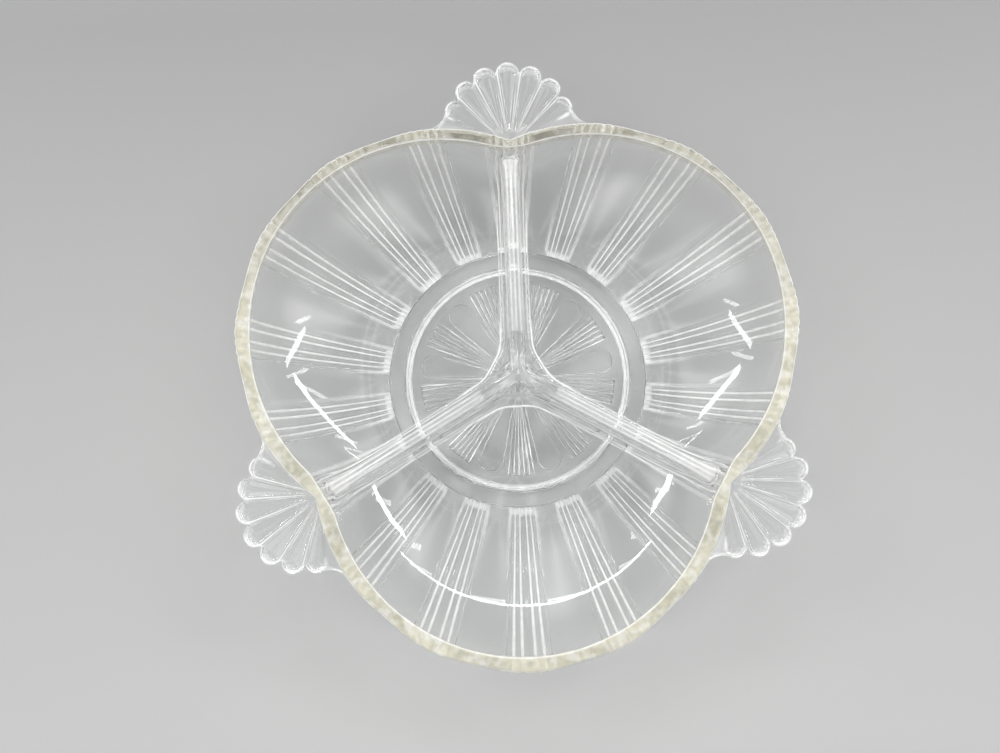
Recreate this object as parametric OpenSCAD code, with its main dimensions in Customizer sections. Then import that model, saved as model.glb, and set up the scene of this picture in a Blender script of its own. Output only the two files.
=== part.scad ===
// Three-part relish tray of clear pressed glass: a bowl of three overlapping
// lobes with a dividing wall at each cusp and a fan-shaped handle behind it.
// The real tray is one moulding. Each module below is one named region of it.
// +Z is up and +Y points to the handle at the back. The origin lies on the table.

/* [Bowl] */
// Outer radius of each of the three lobes of the rim
lobe_r = 67.5; // [60:0.5:76]
// Distance from the middle of the tray to the middle of each lobe
lobe_shift = 28.5; // [24:0.5:33]
// Height of the rim above the table
tray_h = 31; // [26:0.5:38]
// Angle that the wall has turned up through when it meets the rim
wall_sweep = 61; // [50:1:70]

/* [Rim] */
// Width of the band on top of the rim
rim_w = 3.8; // [3.2:0.1:4.6]
// Height of the rim band
rim_h = 4.5; // [4:0.1:5]
// Rounding of the rim's two top edges
rim_round = 1; // [0.5:0.1:1.4]
// Depth of the flats on the rim between the rib groups
rim_flat_depth = 0.5; // [0.2:0.1:0.8]

/* [Ribs on the wall] */
// Height of the ribs on the outside of the wall
reed_depth = 0.7; // [0.4:0.1:1]
// Angle taken by the wide rib in the middle of a group
wide_reed_angle = 2.7; // [2:0.1:3.2]
// Angle taken by each narrow rib beside it
reed_angle = 1.8; // [1.4:0.1:2]
// Distance from the foot to the square ends of the ribs
reed_start = 1; // [0.6:0.1:2]
// How far the smooth panels between the groups bulge
panel_bulge = 0.3; // [0.1:0.1:0.5]

/* [Base] */
// Outer radius of the foot ring
foot_r = 45; // [42:0.5:48]
// Width of the foot ring
foot_w = 5.5; // [4.5:0.1:7]
// Height of the foot ring
foot_h = 2; // [1.6:0.1:3]
// Rounding of the foot ring's outer lower edge
foot_round = 0.8; // [0.4:0.1:1.2]
// Thickness of the floor
floor_t = 3.5; // [3:0.1:4.5]
// Distance from the foot to the place where the inside starts to curve up
flat_margin = 4; // [2:0.5:6]

/* [Sunburst under the floor] */
// Plain margin between the sunburst and the foot ring
sun_margin = 4.7; // [2:0.1:8]
// Thickness of its backing
sun_back_t = 0.4; // [0.3:0.1:0.6]
// Height of its rays and petals
sun_relief = 0.8; // [0.5:0.1:1]
// Radius of the plain middle, where the rays start
sun_eye_r = 5; // [3:0.5:8]
// Angle of each thin ray
ray_angle = 2.6; // [2:0.1:2.8]
// Angle between neighbouring thin rays
ray_pitch = 3.2; // [3.2:0.1:3.6]
// Angle of each wide petal
petal_angle = 17; // [14:1:18]
// Margin between the petals' round ends and the edge of the sunburst
petal_margin = 0.8; // [0.4:0.1:2]

/* [Dividers] */
// How far the dividers stay below the rim
divider_drop = 6; // [5.4:0.2:8]
// Width of a divider at its foot
divider_foot_w = 11.6; // [9:0.2:14]
// Width of a divider at its top
divider_top_w = 4.2; // [3:0.2:5]
// Radius of the hollow curve at a divider's foot
divider_fillet = 2.6; // [2:0.1:3.4]
// Rounding of a divider's top
crest_round = 1.2; // [0.8:0.1:1.6]
// Distance from the middle of the tray to the inner corner of each compartment
hub_corner = 9.2; // [8.4:0.1:10.4]
// Length over which a divider widens into the rim
flare_len = 10; // [6:1:16]
// Share by which a divider is wider at the rim
flare_share = 0.5; // [0.2:0.1:0.8]
// Thickness left at the feathered edges of a divider
feather_t = 0.4; // [0.3:0.1:0.6]
// Clearance under a divider
seat_gap = 0.14; // [0.12:0.01:0.2]

/* [Handles] */
// Length of a handle, from the cusp of the rim to its tip
handle_len = 25.5; // [22:0.5:30]
// Thickness of a handle
handle_t = 3.2; // [2.8:0.1:3.4]
// How far the top of a handle starts below the rim
handle_drop = 1; // [0.6:0.1:1.2]
// Angle by which a handle rises towards its tip
handle_rise = 5; // [2:1:8]
// Number of petals on a handle
petals = 7; // [5:2:7]
// Angle between the petals of a handle
petal_pitch = 18.3; // [16:0.1:19]
// Distance from the cusp of the rim in to the point that the petals fan out from
fan_inset = 2.2; // [1:0.2:4]
// Length of the outermost petals, as a share of the middle one's
side_petal_share = 0.89; // [0.8:0.01:1]
// Width of the ridges between the scoops
ridge_w = 1.6; // [1:0.1:2]
// How far neighbouring petals run into each other
petal_lap = 0.15; // [0.05:0.05:0.3]
// Distance from the fan's middle point to where the scoops start
scoop_start = 9; // [7:0.5:12]
// Depth of the scoop in each petal
scoop_depth = 0.9; // [0.5:0.1:1.1]
// Radius of the hollow curve that joins a handle to the rim
web_r = 7.5; // [6.5:0.5:9]

/* [Hidden] */
glass = [0.86, 0.89, 0.87, 0.5];
rim_glass = [0.91, 0.9, 0.8, 0.7];

// One overrun serves all cuts
over = 1;
// Clearance between the faceted wall and the round floor
wall_gap = 0.05;
smooth = 180;

lobes = 3;
lobe_angle = 360 / lobes;
first_lobe = 30;
first_divider = 90;
groups = 18;
group_pitch = 360 / groups;

floor_z = foot_h + floor_t;
rim_z = tray_h - rim_h;
rim_in_r = lobe_r - rim_w;
flat_r = foot_r + flat_margin;
foot_in_r = foot_r - foot_w;
sun_r = foot_in_r - sun_margin;
ridge_z = tray_h - divider_drop;
half_foot = divider_foot_w / 2;
sector = lobe_angle / 2;

// Distance from the middle of the tray to a lobed line of radius rad, at an
// angle from the nearest lobe's own direction
function edge(rad, off) =
    lobe_shift * cos(off) + sqrt(pow(rad, 2) - pow(lobe_shift * sin(off), 2));

// A wall's curve turns evenly through wall_sweep. Shares of its run and rise
function run_share(turn) = sin(turn) / sin(wall_sweep);
function rise_share(turn) = (1 - cos(turn)) / (1 - cos(wall_sweep));

// Height of the inside of the bowl over a point
function inside_z(x, y) =
    let(far = norm([x, y]),
        off = sector - abs(atan2(y, x)),
        reach = (far - flat_r) / (edge(rim_in_r, off) - flat_r),
        turn = asin(min(1, max(0, reach) * sin(wall_sweep))))
    floor_z + (rim_z - floor_z) * rise_share(turn);

// The edges and crests of one rib group, as angles from its middle
half_wide = wide_reed_angle / 2;
group_half = half_wide + 2 * reed_angle;
crest_step = reed_angle / 2;
half_group = [for (k = [0:4]) half_wide + k * crest_step];
panel_shares = [0.25, 0.5, 0.75];
panel_angle = group_pitch - 2 * group_half;

// Height of the pattern on the outside at an angle from the lobe's middle
function pattern(off) =
    let(near = off - group_pitch * round(off / group_pitch),
        a = abs(near),
        on_reed = abs(sin(180 * (a - half_wide) / reed_angle)),
        on_panel = sin(180 * (a - group_half) / panel_angle))
    a < half_wide ? reed_depth * cos(90 * a / half_wide)
    : a <= group_half ? reed_depth * on_reed
    : panel_bulge * on_panel;

// All the angles at which a wall has a line of points
function in_sector(list) = [for (a = list) if (abs(a) <= sector + 0.001) a];
wall_angles = in_sector([for (g = [-sector:group_pitch:sector]) each concat(
    [for (k = [4:-1:0]) g - half_group[k]], [g], half_group + [for (k = [0:4]) g],
    [for (s = panel_shares) g + group_half + s * panel_angle])]);

wall_rows = 8;
turns = [for (k = [0:wall_rows]) wall_sweep * k / wall_rows];

// A point at a distance, angle and height
function polar(far, angle, z) = [far * cos(angle), far * sin(angle), z];

// One point on the outside of the wall: on the curve, plus the pattern's
// height square to it. The last row keeps its height, to carry the rim
function outside(turn, off) =
    let(start = foot_r + reed_start,
        run = edge(lobe_r - reed_depth, off) - start,
        rise = rim_z - foot_h,
        along = [run * cos(turn) / sin(wall_sweep), rise * sin(turn) / (1 - cos(wall_sweep))],
        square = [along[1], -along[0]] / norm(along),
        top = turn >= wall_sweep,
        relief = pattern(off))
    polar(start + run * run_share(turn) + relief * (top ? 1 : square[0]), off,
        foot_h + rise * rise_share(turn) + relief * (top ? 0 : square[1]));

function inside(turn, off) =
    polar(flat_r + (edge(rim_in_r, off) - flat_r) * run_share(turn), off,
        floor_z + (rim_z - floor_z) * rise_share(turn));

// A closed solid between two grids of points with the same rows and columns
module grid_solid(top, bottom) {
    rows = len(top);
    cols = len(top[0]);
    all_top = rows * cols;
    function at(r, c) = r * cols + c;
    function low(r, c) = all_top + at(r, c);
    points = concat([for (r = top) each r], [for (r = bottom) each r]);
    skin = [for (r = [0:rows - 2], c = [0:cols - 2]) each [
        [at(r, c), at(r, c + 1), at(r + 1, c)],
        [at(r, c + 1), at(r + 1, c + 1), at(r + 1, c)],
        [low(r, c), low(r + 1, c), low(r, c + 1)],
        [low(r, c + 1), low(r + 1, c), low(r + 1, c + 1)]]];
    ends = [for (c = [0:cols - 2]) each [
        [at(0, c), low(0, c), at(0, c + 1)],
        [at(0, c + 1), low(0, c), low(0, c + 1)],
        [at(rows - 1, c), at(rows - 1, c + 1), low(rows - 1, c)],
        [at(rows - 1, c + 1), low(rows - 1, c + 1), low(rows - 1, c)]]];
    sides = [for (r = [0:rows - 2]) each [
        [at(r, 0), at(r + 1, 0), low(r, 0)],
        [at(r + 1, 0), low(r + 1, 0), low(r, 0)],
        [at(r, cols - 1), low(r, cols - 1), at(r + 1, cols - 1)],
        [at(r + 1, cols - 1), low(r, cols - 1), low(r + 1, cols - 1)]]];
    polyhedron(points, concat(skin, ends, sides), convexity = 6);
}

// The floor of the well, which all the rest joins
module floor_plate() {
    color(glass)
        translate([0, 0, foot_h]) cylinder(r = foot_r, h = floor_t, $fn = smooth);
}

// A wedge of the plane between two radii
module wedge(near, far, angle) {
    half = angle / 2;
    polygon([polar2(near, -half), polar2(far, -half), polar2(far, half), polar2(near, half)]);
}
function polar2(far, angle) = [far * cos(angle), far * sin(angle)];

// Rays and petals stand down from the underside of the floor, by turns
suns = 9;
sun_pitch = 360 / suns;
rays = [-2:2];
sun_petal_mid = (sun_r - petal_margin) / (1 + sin(petal_angle / 2));

module sunburst() {
    color(glass) {
        translate([0, 0, foot_h - sun_back_t]) cylinder(r = sun_r, h = sun_back_t, $fn = smooth);
        translate([0, 0, foot_h - sun_back_t - sun_relief])
            linear_extrude(sun_relief) for (k = [0:suns - 1]) {
                rotate(first_divider + sun_pitch * k) sun_petal();
                rotate(first_divider + sun_pitch * (k + 1 / 2))
                    for (r = rays) rotate(ray_pitch * r)
                        wedge(sun_eye_r, sun_r - petal_margin, ray_angle);
            }
    }
}

module sun_petal() {
    half = petal_angle / 2;
    round_r = sun_petal_mid * sin(half);
    touch = [sun_petal_mid - round_r * sin(half), round_r * cos(half)];
    inner = sun_eye_r * [cos(half), sin(half)];
    translate([sun_petal_mid, 0]) circle(r = round_r, $fn = smooth);
    polygon([[inner[0], -inner[1]], [touch[0], -touch[1]], [sun_petal_mid, 0], touch, inner]);
}

// The ring that the tray stands on
module foot_ring() {
    color(glass) rotate_extrude($fn = smooth) difference() {
        translate([foot_in_r, 0]) square([foot_w, foot_h]);
        translate([foot_r - foot_round, 0]) difference() {
            translate([0, -over]) square([foot_round + over, foot_round + over]);
            translate([0, foot_round]) circle(r = foot_round, $fn = smooth / 4);
        }
    }
}

// The curved side of one compartment, ribbed on the outside
module wall() {
    start = foot_r + wall_gap;
    inner = concat([[for (a = wall_angles) polar(start, a, floor_z)]],
        [for (t = turns) [for (a = wall_angles) inside(t, a)]]);
    outer = concat([[for (a = wall_angles) polar(start, a, foot_h)]],
        [for (t = turns) [for (a = wall_angles) outside(t, a)]]);
    color(glass) grid_solid(inner, outer);
}

// The band along the top of one wall, from cusp to cusp
module rim() {
    color(rim_glass) translate([0, 0, rim_z]) difference() {
        intersection() {
            translate([lobe_shift, 0]) rotate_extrude($fn = smooth) rim_profile();
            linear_extrude(rim_h) sector_wedge();
        }
        for (g = [-sector:group_pitch:sector - 1]) rim_flat(g + group_pitch / 2);
    }
}

// The third of the plane that belongs to one lobe
module sector_wedge() {
    far = 2 * lobe_r / cos(sector);
    polygon([[0, 0], polar2(far, -sector), polar2(far, sector)]);
}

module rim_profile() {
    translate([rim_in_r, 0]) {
        square([rim_w, rim_h - rim_round]);
        translate([rim_round, 0]) square([rim_w - 2 * rim_round, rim_h]);
        for (x = [rim_round, rim_w - rim_round])
            translate([x, rim_h - rim_round]) circle(r = rim_round, $fn = smooth / 4);
    }
}

// Direction, seen from the lobe's own middle, of its edge at an angle off
function lobe_turn(off) =
    let(far = edge(lobe_r, off))
    atan2(far * sin(off), far * cos(off) - lobe_shift);

// What takes the rim down to a flat over the smooth panel at an angle off
module rim_flat(off) {
    half_len = lobe_r * sin(group_pitch / 2);
    translate([lobe_shift, 0]) rotate(lobe_turn(off))
        translate([lobe_r - rim_flat_depth, -half_len, -over])
            cube([rim_flat_depth + over, 2 * half_len, rim_h + 2 * over]);
}

// Half of a divider's cross-section: its foot curves up into a steep side
half_crest = divider_top_w / 2;
half_side = half_foot - divider_fillet;
side_low_z = floor_z + divider_fillet;
side_high_z = ridge_z - crest_round;
side_slope = (side_high_z - side_low_z) / (half_side - half_crest);
fillet_turns = [90:-22.5:22.5];
crest_shares = [1, 0.92, 0.7, 0.38];
section_half = concat(
    [for (t = fillet_turns) half_foot - divider_fillet * (1 - sin(t))],
    [half_side, half_side - (half_side - half_crest) / 2],
    [for (s = crest_shares) half_crest * s]);
section = concat(section_half, [0], [for (k = [len(section_half) - 1:-1:0]) -section_half[k]]);

// Height that the divider's side allows at a distance across from its middle
function crest_cap(across) =
    across >= half_crest ? side_high_z - (across - half_crest) * side_slope
    : side_high_z + crest_round * sqrt(1 - pow(across / half_crest, 2));

// Height of the fillet above the surface that it springs from
function fillet_rise(across) =
    across <= half_side ? ridge_z
    : divider_fillet * (1 - sqrt(1 - pow((half_foot - across) / divider_fillet, 2)));

// Where the wall has come up to the top of a divider
ridge_share = (ridge_z - floor_z) / (rim_z - floor_z);
ridge_turn = acos(1 - ridge_share * (1 - cos(wall_sweep)));
divider_end = flat_r + (edge(rim_in_r, sector) - flat_r) * run_share(ridge_turn);
hub_face = (hub_corner - half_foot * sin(sector)) / cos(sector);
divider_steps = 22;
flare_start = divider_end - flare_len;

function flare(along) = 1 + flare_share * pow(max(0, along - flare_start) / flare_len, 2);

// A wall between two compartments, seated on the floor and the bowl's side
module divider() {
    lengths = [for (k = [0:divider_steps]) hub_face + (divider_end - hub_face) * k / divider_steps];
    seat = [for (x = lengths) [for (s = section)
        let(y = s * flare(x)) [x, y, inside_z(x, y) + seat_gap]]];
    top = [for (row = seat) [for (c = [0:len(section) - 1])
        let(p = row[c], across = abs(section[c]))
        [p[0], p[1], max(p[2] + feather_t, min(crest_cap(across), p[2] + fillet_rise(across)))]]];
    color(glass) grid_solid(top, seat);
}

// The middle, where the three dividers run together
module hub() {
    corner = atan2(half_foot, hub_face);
    far = norm([hub_face, half_foot]);
    color(glass) intersection() {
        translate([0, 0, floor_z]) linear_extrude(ridge_z)
            polygon([for (k = [0:lobes - 1], s = [-1, 1])
                polar2(far, first_divider + lobe_angle * k + s * corner)]);
        union() {
            for (k = [0:lobes - 1]) rotate(first_divider + lobe_angle * k) hub_arm();
            translate([0, 0, floor_z]) cylinder(h = feather_t, r = 2 * far, $fn = smooth);
        }
    }
}

module hub_arm() {
    rotate([90, 0, 90]) linear_extrude(2 * hub_corner) polygon(concat(
        [for (s = section) [s, max(floor_z + feather_t,
            min(crest_cap(abs(s)), floor_z + fillet_rise(abs(s))))]],
        [[-half_foot, floor_z], [half_foot, floor_z]]));
}

// The fan of petals behind one cusp of the rim
cusp = edge(lobe_r, sector);
fan_len = handle_len + fan_inset;
fan_middle = cusp - fan_inset;
last_petal = (petals - 1) / 2;
half_petal = petal_pitch / 2;

function petal_len(k) = fan_len * (1 - (1 - side_petal_share) * pow(k / last_petal, 2));
function petal_round(k) = petal_len(k) * sin(half_petal) / (1 + sin(half_petal));

// A point of the fan, at a distance from the point where the petals start
function on_fan(far, turn) = [fan_middle + far * cos(turn), far * sin(turn)];
function petal_mid(k) = petal_len(k) - petal_round(k);

// Middle of the hollow curve that touches the last petal and the lobe beside it,
// where two circles about the petal's end and the lobe's middle cross
last_end = on_fan(petal_mid(last_petal), last_petal * petal_pitch);
lobe_mid = lobe_shift * [cos(sector), sin(sector)];
web_from_petal = petal_round(last_petal) + web_r - petal_lap;
web_from_lobe = lobe_r + web_r - petal_lap;
apart = norm(last_end - lobe_mid);
web_along = (pow(web_from_lobe, 2) - pow(web_from_petal, 2) + pow(apart, 2)) / (2 * apart);
web_out = sqrt(pow(web_from_lobe, 2) - pow(web_along, 2));
toward = (last_end - lobe_mid) / apart;
web_mid = lobe_mid + web_along * toward + web_out * [-toward[1], toward[0]];
web_touch = lobe_mid + (web_mid - lobe_mid) * lobe_r / web_from_lobe;

// The handle's outline from above, before the hollow curves cut its two corners
module fan() {
    order = [-last_petal:last_petal];
    polygon(concat(
        [[fan_middle, 0], [web_touch[0], -web_touch[1]], [web_mid[0], -web_mid[1]]],
        [for (k = order) each concat([on_fan(petal_mid(k), k * petal_pitch)], k == last_petal ? [] :
            [on_fan(min(petal_mid(k), petal_mid(k + 1)) * cos(half_petal), (k + 1 / 2) * petal_pitch)])],
        [web_mid, web_touch]));
    for (k = order) translate(on_fan(petal_mid(k), k * petal_pitch))
        circle(r = petal_round(k) + petal_lap, $fn = smooth / 2);
}

// The scoop in a petal along +X, half a ridge smaller than the petal all round
module scoop(k) {
    margin = ridge_w / 2;
    r = petal_round(k) - margin;
    touch = [petal_mid(k) - r * sin(half_petal), r * cos(half_petal)];
    translate([petal_mid(k), 0]) circle(r = r, $fn = smooth / 2);
    polygon([[margin / sin(half_petal), 0], touch, [petal_mid(k), 0], [touch[0], -touch[1]]]);
}

// The handle lying flat: the fan, and a web on each side that the hollow curves cut
module handle_plate() {
    difference() {
        linear_extrude(handle_t) fan();
        for (s = [-1, 1]) translate([web_mid[0], s * web_mid[1], -over])
            cylinder(r = web_r, h = handle_t + 2 * over, $fn = smooth);
        translate([0, 0, handle_t - scoop_depth]) linear_extrude(scoop_depth + over) difference() {
            for (k = [-last_petal:last_petal])
                translate([fan_middle, 0]) rotate(k * petal_pitch) scoop(k);
            translate([fan_middle, 0]) circle(r = scoop_start, $fn = smooth);
            for (s = [-1, 1]) rotate(s * sector) translate([lobe_shift, 0])
                circle(r = lobe_r + ridge_w, $fn = smooth);
        }
    }
}

module handle() {
    color(glass) difference() {
        translate([cusp, 0, tray_h - handle_drop]) rotate([0, -handle_rise, 0])
            translate([-cusp, 0, -handle_t]) handle_plate();
        for (s = [-1, 1]) rotate(s * sector) translate([lobe_shift, 0, 0])
            cylinder(r = lobe_r, h = 2 * tray_h, $fn = smooth);
    }
}

// The origin lies under the middle of the whole length, a little behind the hub
tip_y = cusp + (handle_len + petal_lap) * cos(handle_rise) + handle_t * sin(handle_rise);
front_y = -lobe_shift - lobe_r;
hub_y = -(tip_y + front_y) / 2;

module centred() {
    translate([0, hub_y, 0]) children();
}

module at_lobe(k) {
    centred() rotate(first_lobe + lobe_angle * k) children();
}

module at_divider(k) {
    centred() rotate(first_divider + lobe_angle * k) children();
}

centred() floor_plate();
centred() sunburst();
centred() foot_ring();
at_lobe(0) wall();  // wall_right
at_lobe(1) wall();  // wall_left
at_lobe(2) wall();  // wall_front
at_lobe(0) rim();  // rim_right
at_lobe(1) rim();  // rim_left
at_lobe(2) rim();  // rim_front
at_divider(0) divider();  // divider_back
at_divider(1) divider();  // divider_left
at_divider(2) divider();  // divider_right
centred() hub();
at_divider(0) handle();  // handle_back
at_divider(1) handle();  // handle_left
at_divider(2) handle();  // handle_right
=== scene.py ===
# %% [markdown]
# # A three-part relish tray of pressed glass
#
# The real tray is one pressing of clear glass: a bowl of three lobes, three dividing walls, a
# ribbed outside, a foot ring with a sunburst inside it, and three fans for handles. Glass has
# no colour to hide behind. What the eye reads is how each surface bends the light, so every
# surface here is worked out as a smooth grid of points with its own exact normals.
#
# The script starts from the fixed model, in metres.

# %% Load the fixed model
import math
import bpy
import numpy as np
from mathutils import Matrix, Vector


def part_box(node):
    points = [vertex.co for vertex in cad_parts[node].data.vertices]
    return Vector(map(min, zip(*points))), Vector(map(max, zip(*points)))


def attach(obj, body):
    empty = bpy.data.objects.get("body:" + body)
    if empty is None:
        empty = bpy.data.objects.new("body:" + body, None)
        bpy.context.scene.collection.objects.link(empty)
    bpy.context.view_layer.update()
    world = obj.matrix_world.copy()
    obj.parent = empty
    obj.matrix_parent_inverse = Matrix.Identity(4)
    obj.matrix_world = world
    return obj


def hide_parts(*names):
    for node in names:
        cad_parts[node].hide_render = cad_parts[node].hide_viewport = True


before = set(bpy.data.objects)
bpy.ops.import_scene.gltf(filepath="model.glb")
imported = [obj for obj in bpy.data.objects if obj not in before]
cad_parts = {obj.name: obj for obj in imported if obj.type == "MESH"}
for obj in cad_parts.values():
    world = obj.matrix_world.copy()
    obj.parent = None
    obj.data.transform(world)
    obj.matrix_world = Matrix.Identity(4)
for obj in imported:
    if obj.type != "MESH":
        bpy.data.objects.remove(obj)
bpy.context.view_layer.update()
MM = 0.001
print("nodes:", ", ".join(sorted(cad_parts)))

# %% [markdown]
# ## Sizes
#
# Heights and radii could be typed here again, but then two files would have to agree. So they
# come from the boxes of the fixed pieces. What a box can't tell, such as the lobes' radius, is
# written in millimetres, about the hub.

# %% Sizes from the frame
def box_mm(node):
    """A node's lowest and highest corners in millimetres."""
    low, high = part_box(node)
    return np.array(low) / MM, np.array(high) / MM


ring_low, ring_high = box_mm("foot_ring")
rim_low, rim_high = box_mm("rim_front")
sun_low, sun_high = box_mm("sunburst")
fan_high = box_mm("handle_back")[1]
HUB_Y = (ring_low[1] + ring_high[1]) / 2
FOOT_R = (ring_high[0] - ring_low[0]) / 2
FOOT_H = ring_high[2]
FLOOR_Z = box_mm("floor_plate")[1][2]
RIM_Z = rim_low[2]
TOP_Z = rim_high[2]
RIDGE_Z = box_mm("hub")[1][2]
SUN_R = (sun_high[0] - sun_low[0]) / 2
SUN_LOW_Z = sun_low[2]
TIP_R, TIP_Z = fan_high[1] - HUB_Y, fan_high[2]
print(f"hub at y {HUB_Y:.2f} mm, foot radius {FOOT_R:.1f}, rim from {RIM_Z:.1f} to {TOP_Z:.1f}")

# %% Sizes from the design
LOBE_R = 67.5
LOBE_SHIFT = 28.5
RIM_W = 3.8
RIM_ROUND = 1.0
RIM_IN_R = LOBE_R - RIM_W
SECTOR = math.radians(60)
CUSP_R = LOBE_SHIFT * math.cos(SECTOR) + math.sqrt(LOBE_R**2 - (LOBE_SHIFT * math.sin(SECTOR))**2)
SWEEP = math.radians(61)
FLAT_PAST_FOOT = 4.0
FLAT_R = FOOT_R + FLAT_PAST_FOOT
FOOT_W = 5.5
REED_DEPTH = 0.7
REED_START = 1.0
TURNS = [math.radians(a) for a in (30, 150, 270)]
LOBES = ("right", "left", "front")
ARM_NAMES = ("back", "left", "right")
print(f"two lobes meet {CUSP_R:.1f} mm from the hub")

# %% [markdown]
# ## A surface is a grid
#
# A mould maker cuts the tray as a few smooth surfaces that meet at edges. It could be modelled
# by hand and subdivided, but glass shows every uneven quad as a ripple. So each surface is an
# array of points with rows and columns, from a formula, and its normals come from the slopes
# along both.

# %% Vectors and soft steps
TINY = 1e-12


def unit(v):
    """Each vector divided by its own length."""
    return v / np.maximum(np.linalg.norm(v, axis=-1, keepdims=True), TINY)


def smooth_step(low, high, x):
    """0 below low, 1 above high, and a level start and end between them."""
    t = np.clip((x - low) / (high - low), 0, 1)
    return t * t * (3 - 2 * t)


def grid_normals(p, wrap=False):
    """Cross product of the slopes along rows and columns, on the outside for a grid whose
    columns run anticlockwise and whose rows run outwards, seen from the outside. A grid that
    wraps has its last column on its first, so it is padded with its own neighbours."""
    if wrap:
        p = np.concatenate([p[:, -3:-1], p, p[:, 1:3]], axis=1)
    across = np.gradient(p, axis=1, edge_order=min(2, p.shape[1] - 1))
    along = np.gradient(p, axis=0, edge_order=min(2, p.shape[0] - 1))
    n = unit(np.cross(along, across))
    return n[:, 2:-2] if wrap else n


# %% [markdown]
# ## Crisp edges
#
# The eye finds a pressed pattern by its crisp edges, which glint. Here those glints are painted
# on: a white that looks the same from every side. They could be painted as a mask by hand.
# Here the script finds them itself, by how sharply the surface bends at each point, and keeps
# the result as an attribute of painted glints, which the glass reads. It moves with the shape
# when a size changes. A second attribute says where a painted glow stands in for light carried
# through thick glass.

# %% Find the crisp edges
CORNER_PAIRS = ((0, 1), (1, 2), (2, 0), (1, 0), (2, 1), (0, 2))
SHARP_LOW, SHARP_HIGH = 0.3, 0.55
LEAST_SQUARE = 1e-6


def sharpness(points, tris, normals):
    """How sharply a surface bends at each of its points. Along an edge of length s, a surface
    that curves as 1 / R falls by s * s / 2R under the level of its normal, so the mean of
    fall / (s * s) over a point's edges is half its mean curvature, in 1 / mm."""
    n = np.zeros_like(points)
    for corner in range(3):
        np.add.at(n, tris[:, corner], normals[:, corner])
    n = unit(n)
    total, count = np.zeros(len(points)), np.zeros(len(points))
    for here, there in CORNER_PAIRS:
        step = points[tris[:, there]] - points[tris[:, here]]
        square = np.maximum(np.sum(step**2, axis=1), LEAST_SQUARE)
        np.add.at(total, tris[:, here], -np.sum(step * n[tris[:, here]], axis=1) / square)
        np.add.at(count, tris[:, here], 1)
    return np.abs(total / np.maximum(count, 1))


def painted_glint_edges(points, tris, normals, given, crisp, spread):
    """Painted glint at each point: what is given, or a soft step of the sharpness if that is more.
    The step's limits grow with crisp, so a fine pattern can count fewer of its edges. Then each
    point takes at least a share, spread, of its neighbours' painted glint."""
    sharp = sharpness(points, tris, normals)
    painted_glint = np.maximum(given, smooth_step(SHARP_LOW * crisp, SHARP_HIGH * crisp, sharp))
    wide = painted_glint.copy()
    for here, there in CORNER_PAIRS:
        np.maximum.at(wide, tris[:, here], spread * painted_glint[tris[:, there]])
    return wide


# %% [markdown]
# ## A piece is a closed set of grids
#
# The regions of one pressing are separate pieces, but light must not see the joints between
# them. They could be left open there, but an open mesh has no inside for the glass to fill.
# So every piece is closed by inner faces with a fully transparent finish, and only the outside
# faces get glass. Where two surfaces meet with different numbers of columns, a zip of
# triangles joins their edges.

# %% Put arrays into a mesh
GLASS, JOINT = 0, 1
# The marks: painted glints on crisp edges, and a painted glow that stands in for light carried through
# thick glass.
MARKS = ("painted_glint", "painted_glow")


def glass_mesh(name, points, tris, normals, kinds, marks, finishes):
    """A mesh of triangles with a given normal at each corner, a finish for each kind of face,
    and an attribute for each mark. Points are in millimetres about the hub."""
    coords = (points + [0, HUB_Y, 0]) * MM
    mesh = bpy.data.meshes.new(name)
    mesh.vertices.add(len(coords))
    mesh.vertices.foreach_set("co", coords.astype(np.float32).ravel())
    mesh.loops.add(tris.size)
    mesh.loops.foreach_set("vertex_index", tris.astype(np.int32).ravel())
    mesh.polygons.add(len(tris))
    mesh.polygons.foreach_set("loop_start", np.arange(0, tris.size, 3, dtype=np.int32))
    for finish in finishes:
        mesh.materials.append(finish)
    mesh.polygons.foreach_set("material_index", kinds.astype(np.int32))
    mesh.polygons.foreach_set("use_smooth", np.ones(len(tris), bool))
    for column, mark in enumerate(MARKS):
        layer = mesh.attributes.new(mark, "FLOAT", "POINT")
        layer.data.foreach_set("value", marks[:, column].astype(np.float32))
    mesh.update(calc_edges=True)
    mesh.normals_split_custom_set(normals.reshape(-1, 3).tolist())
    return mesh


# %% The piece builder
# Points are one point when they agree to a hundred-thousandth of a millimetre.
STEPS_PER_MM = 1e5


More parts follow.
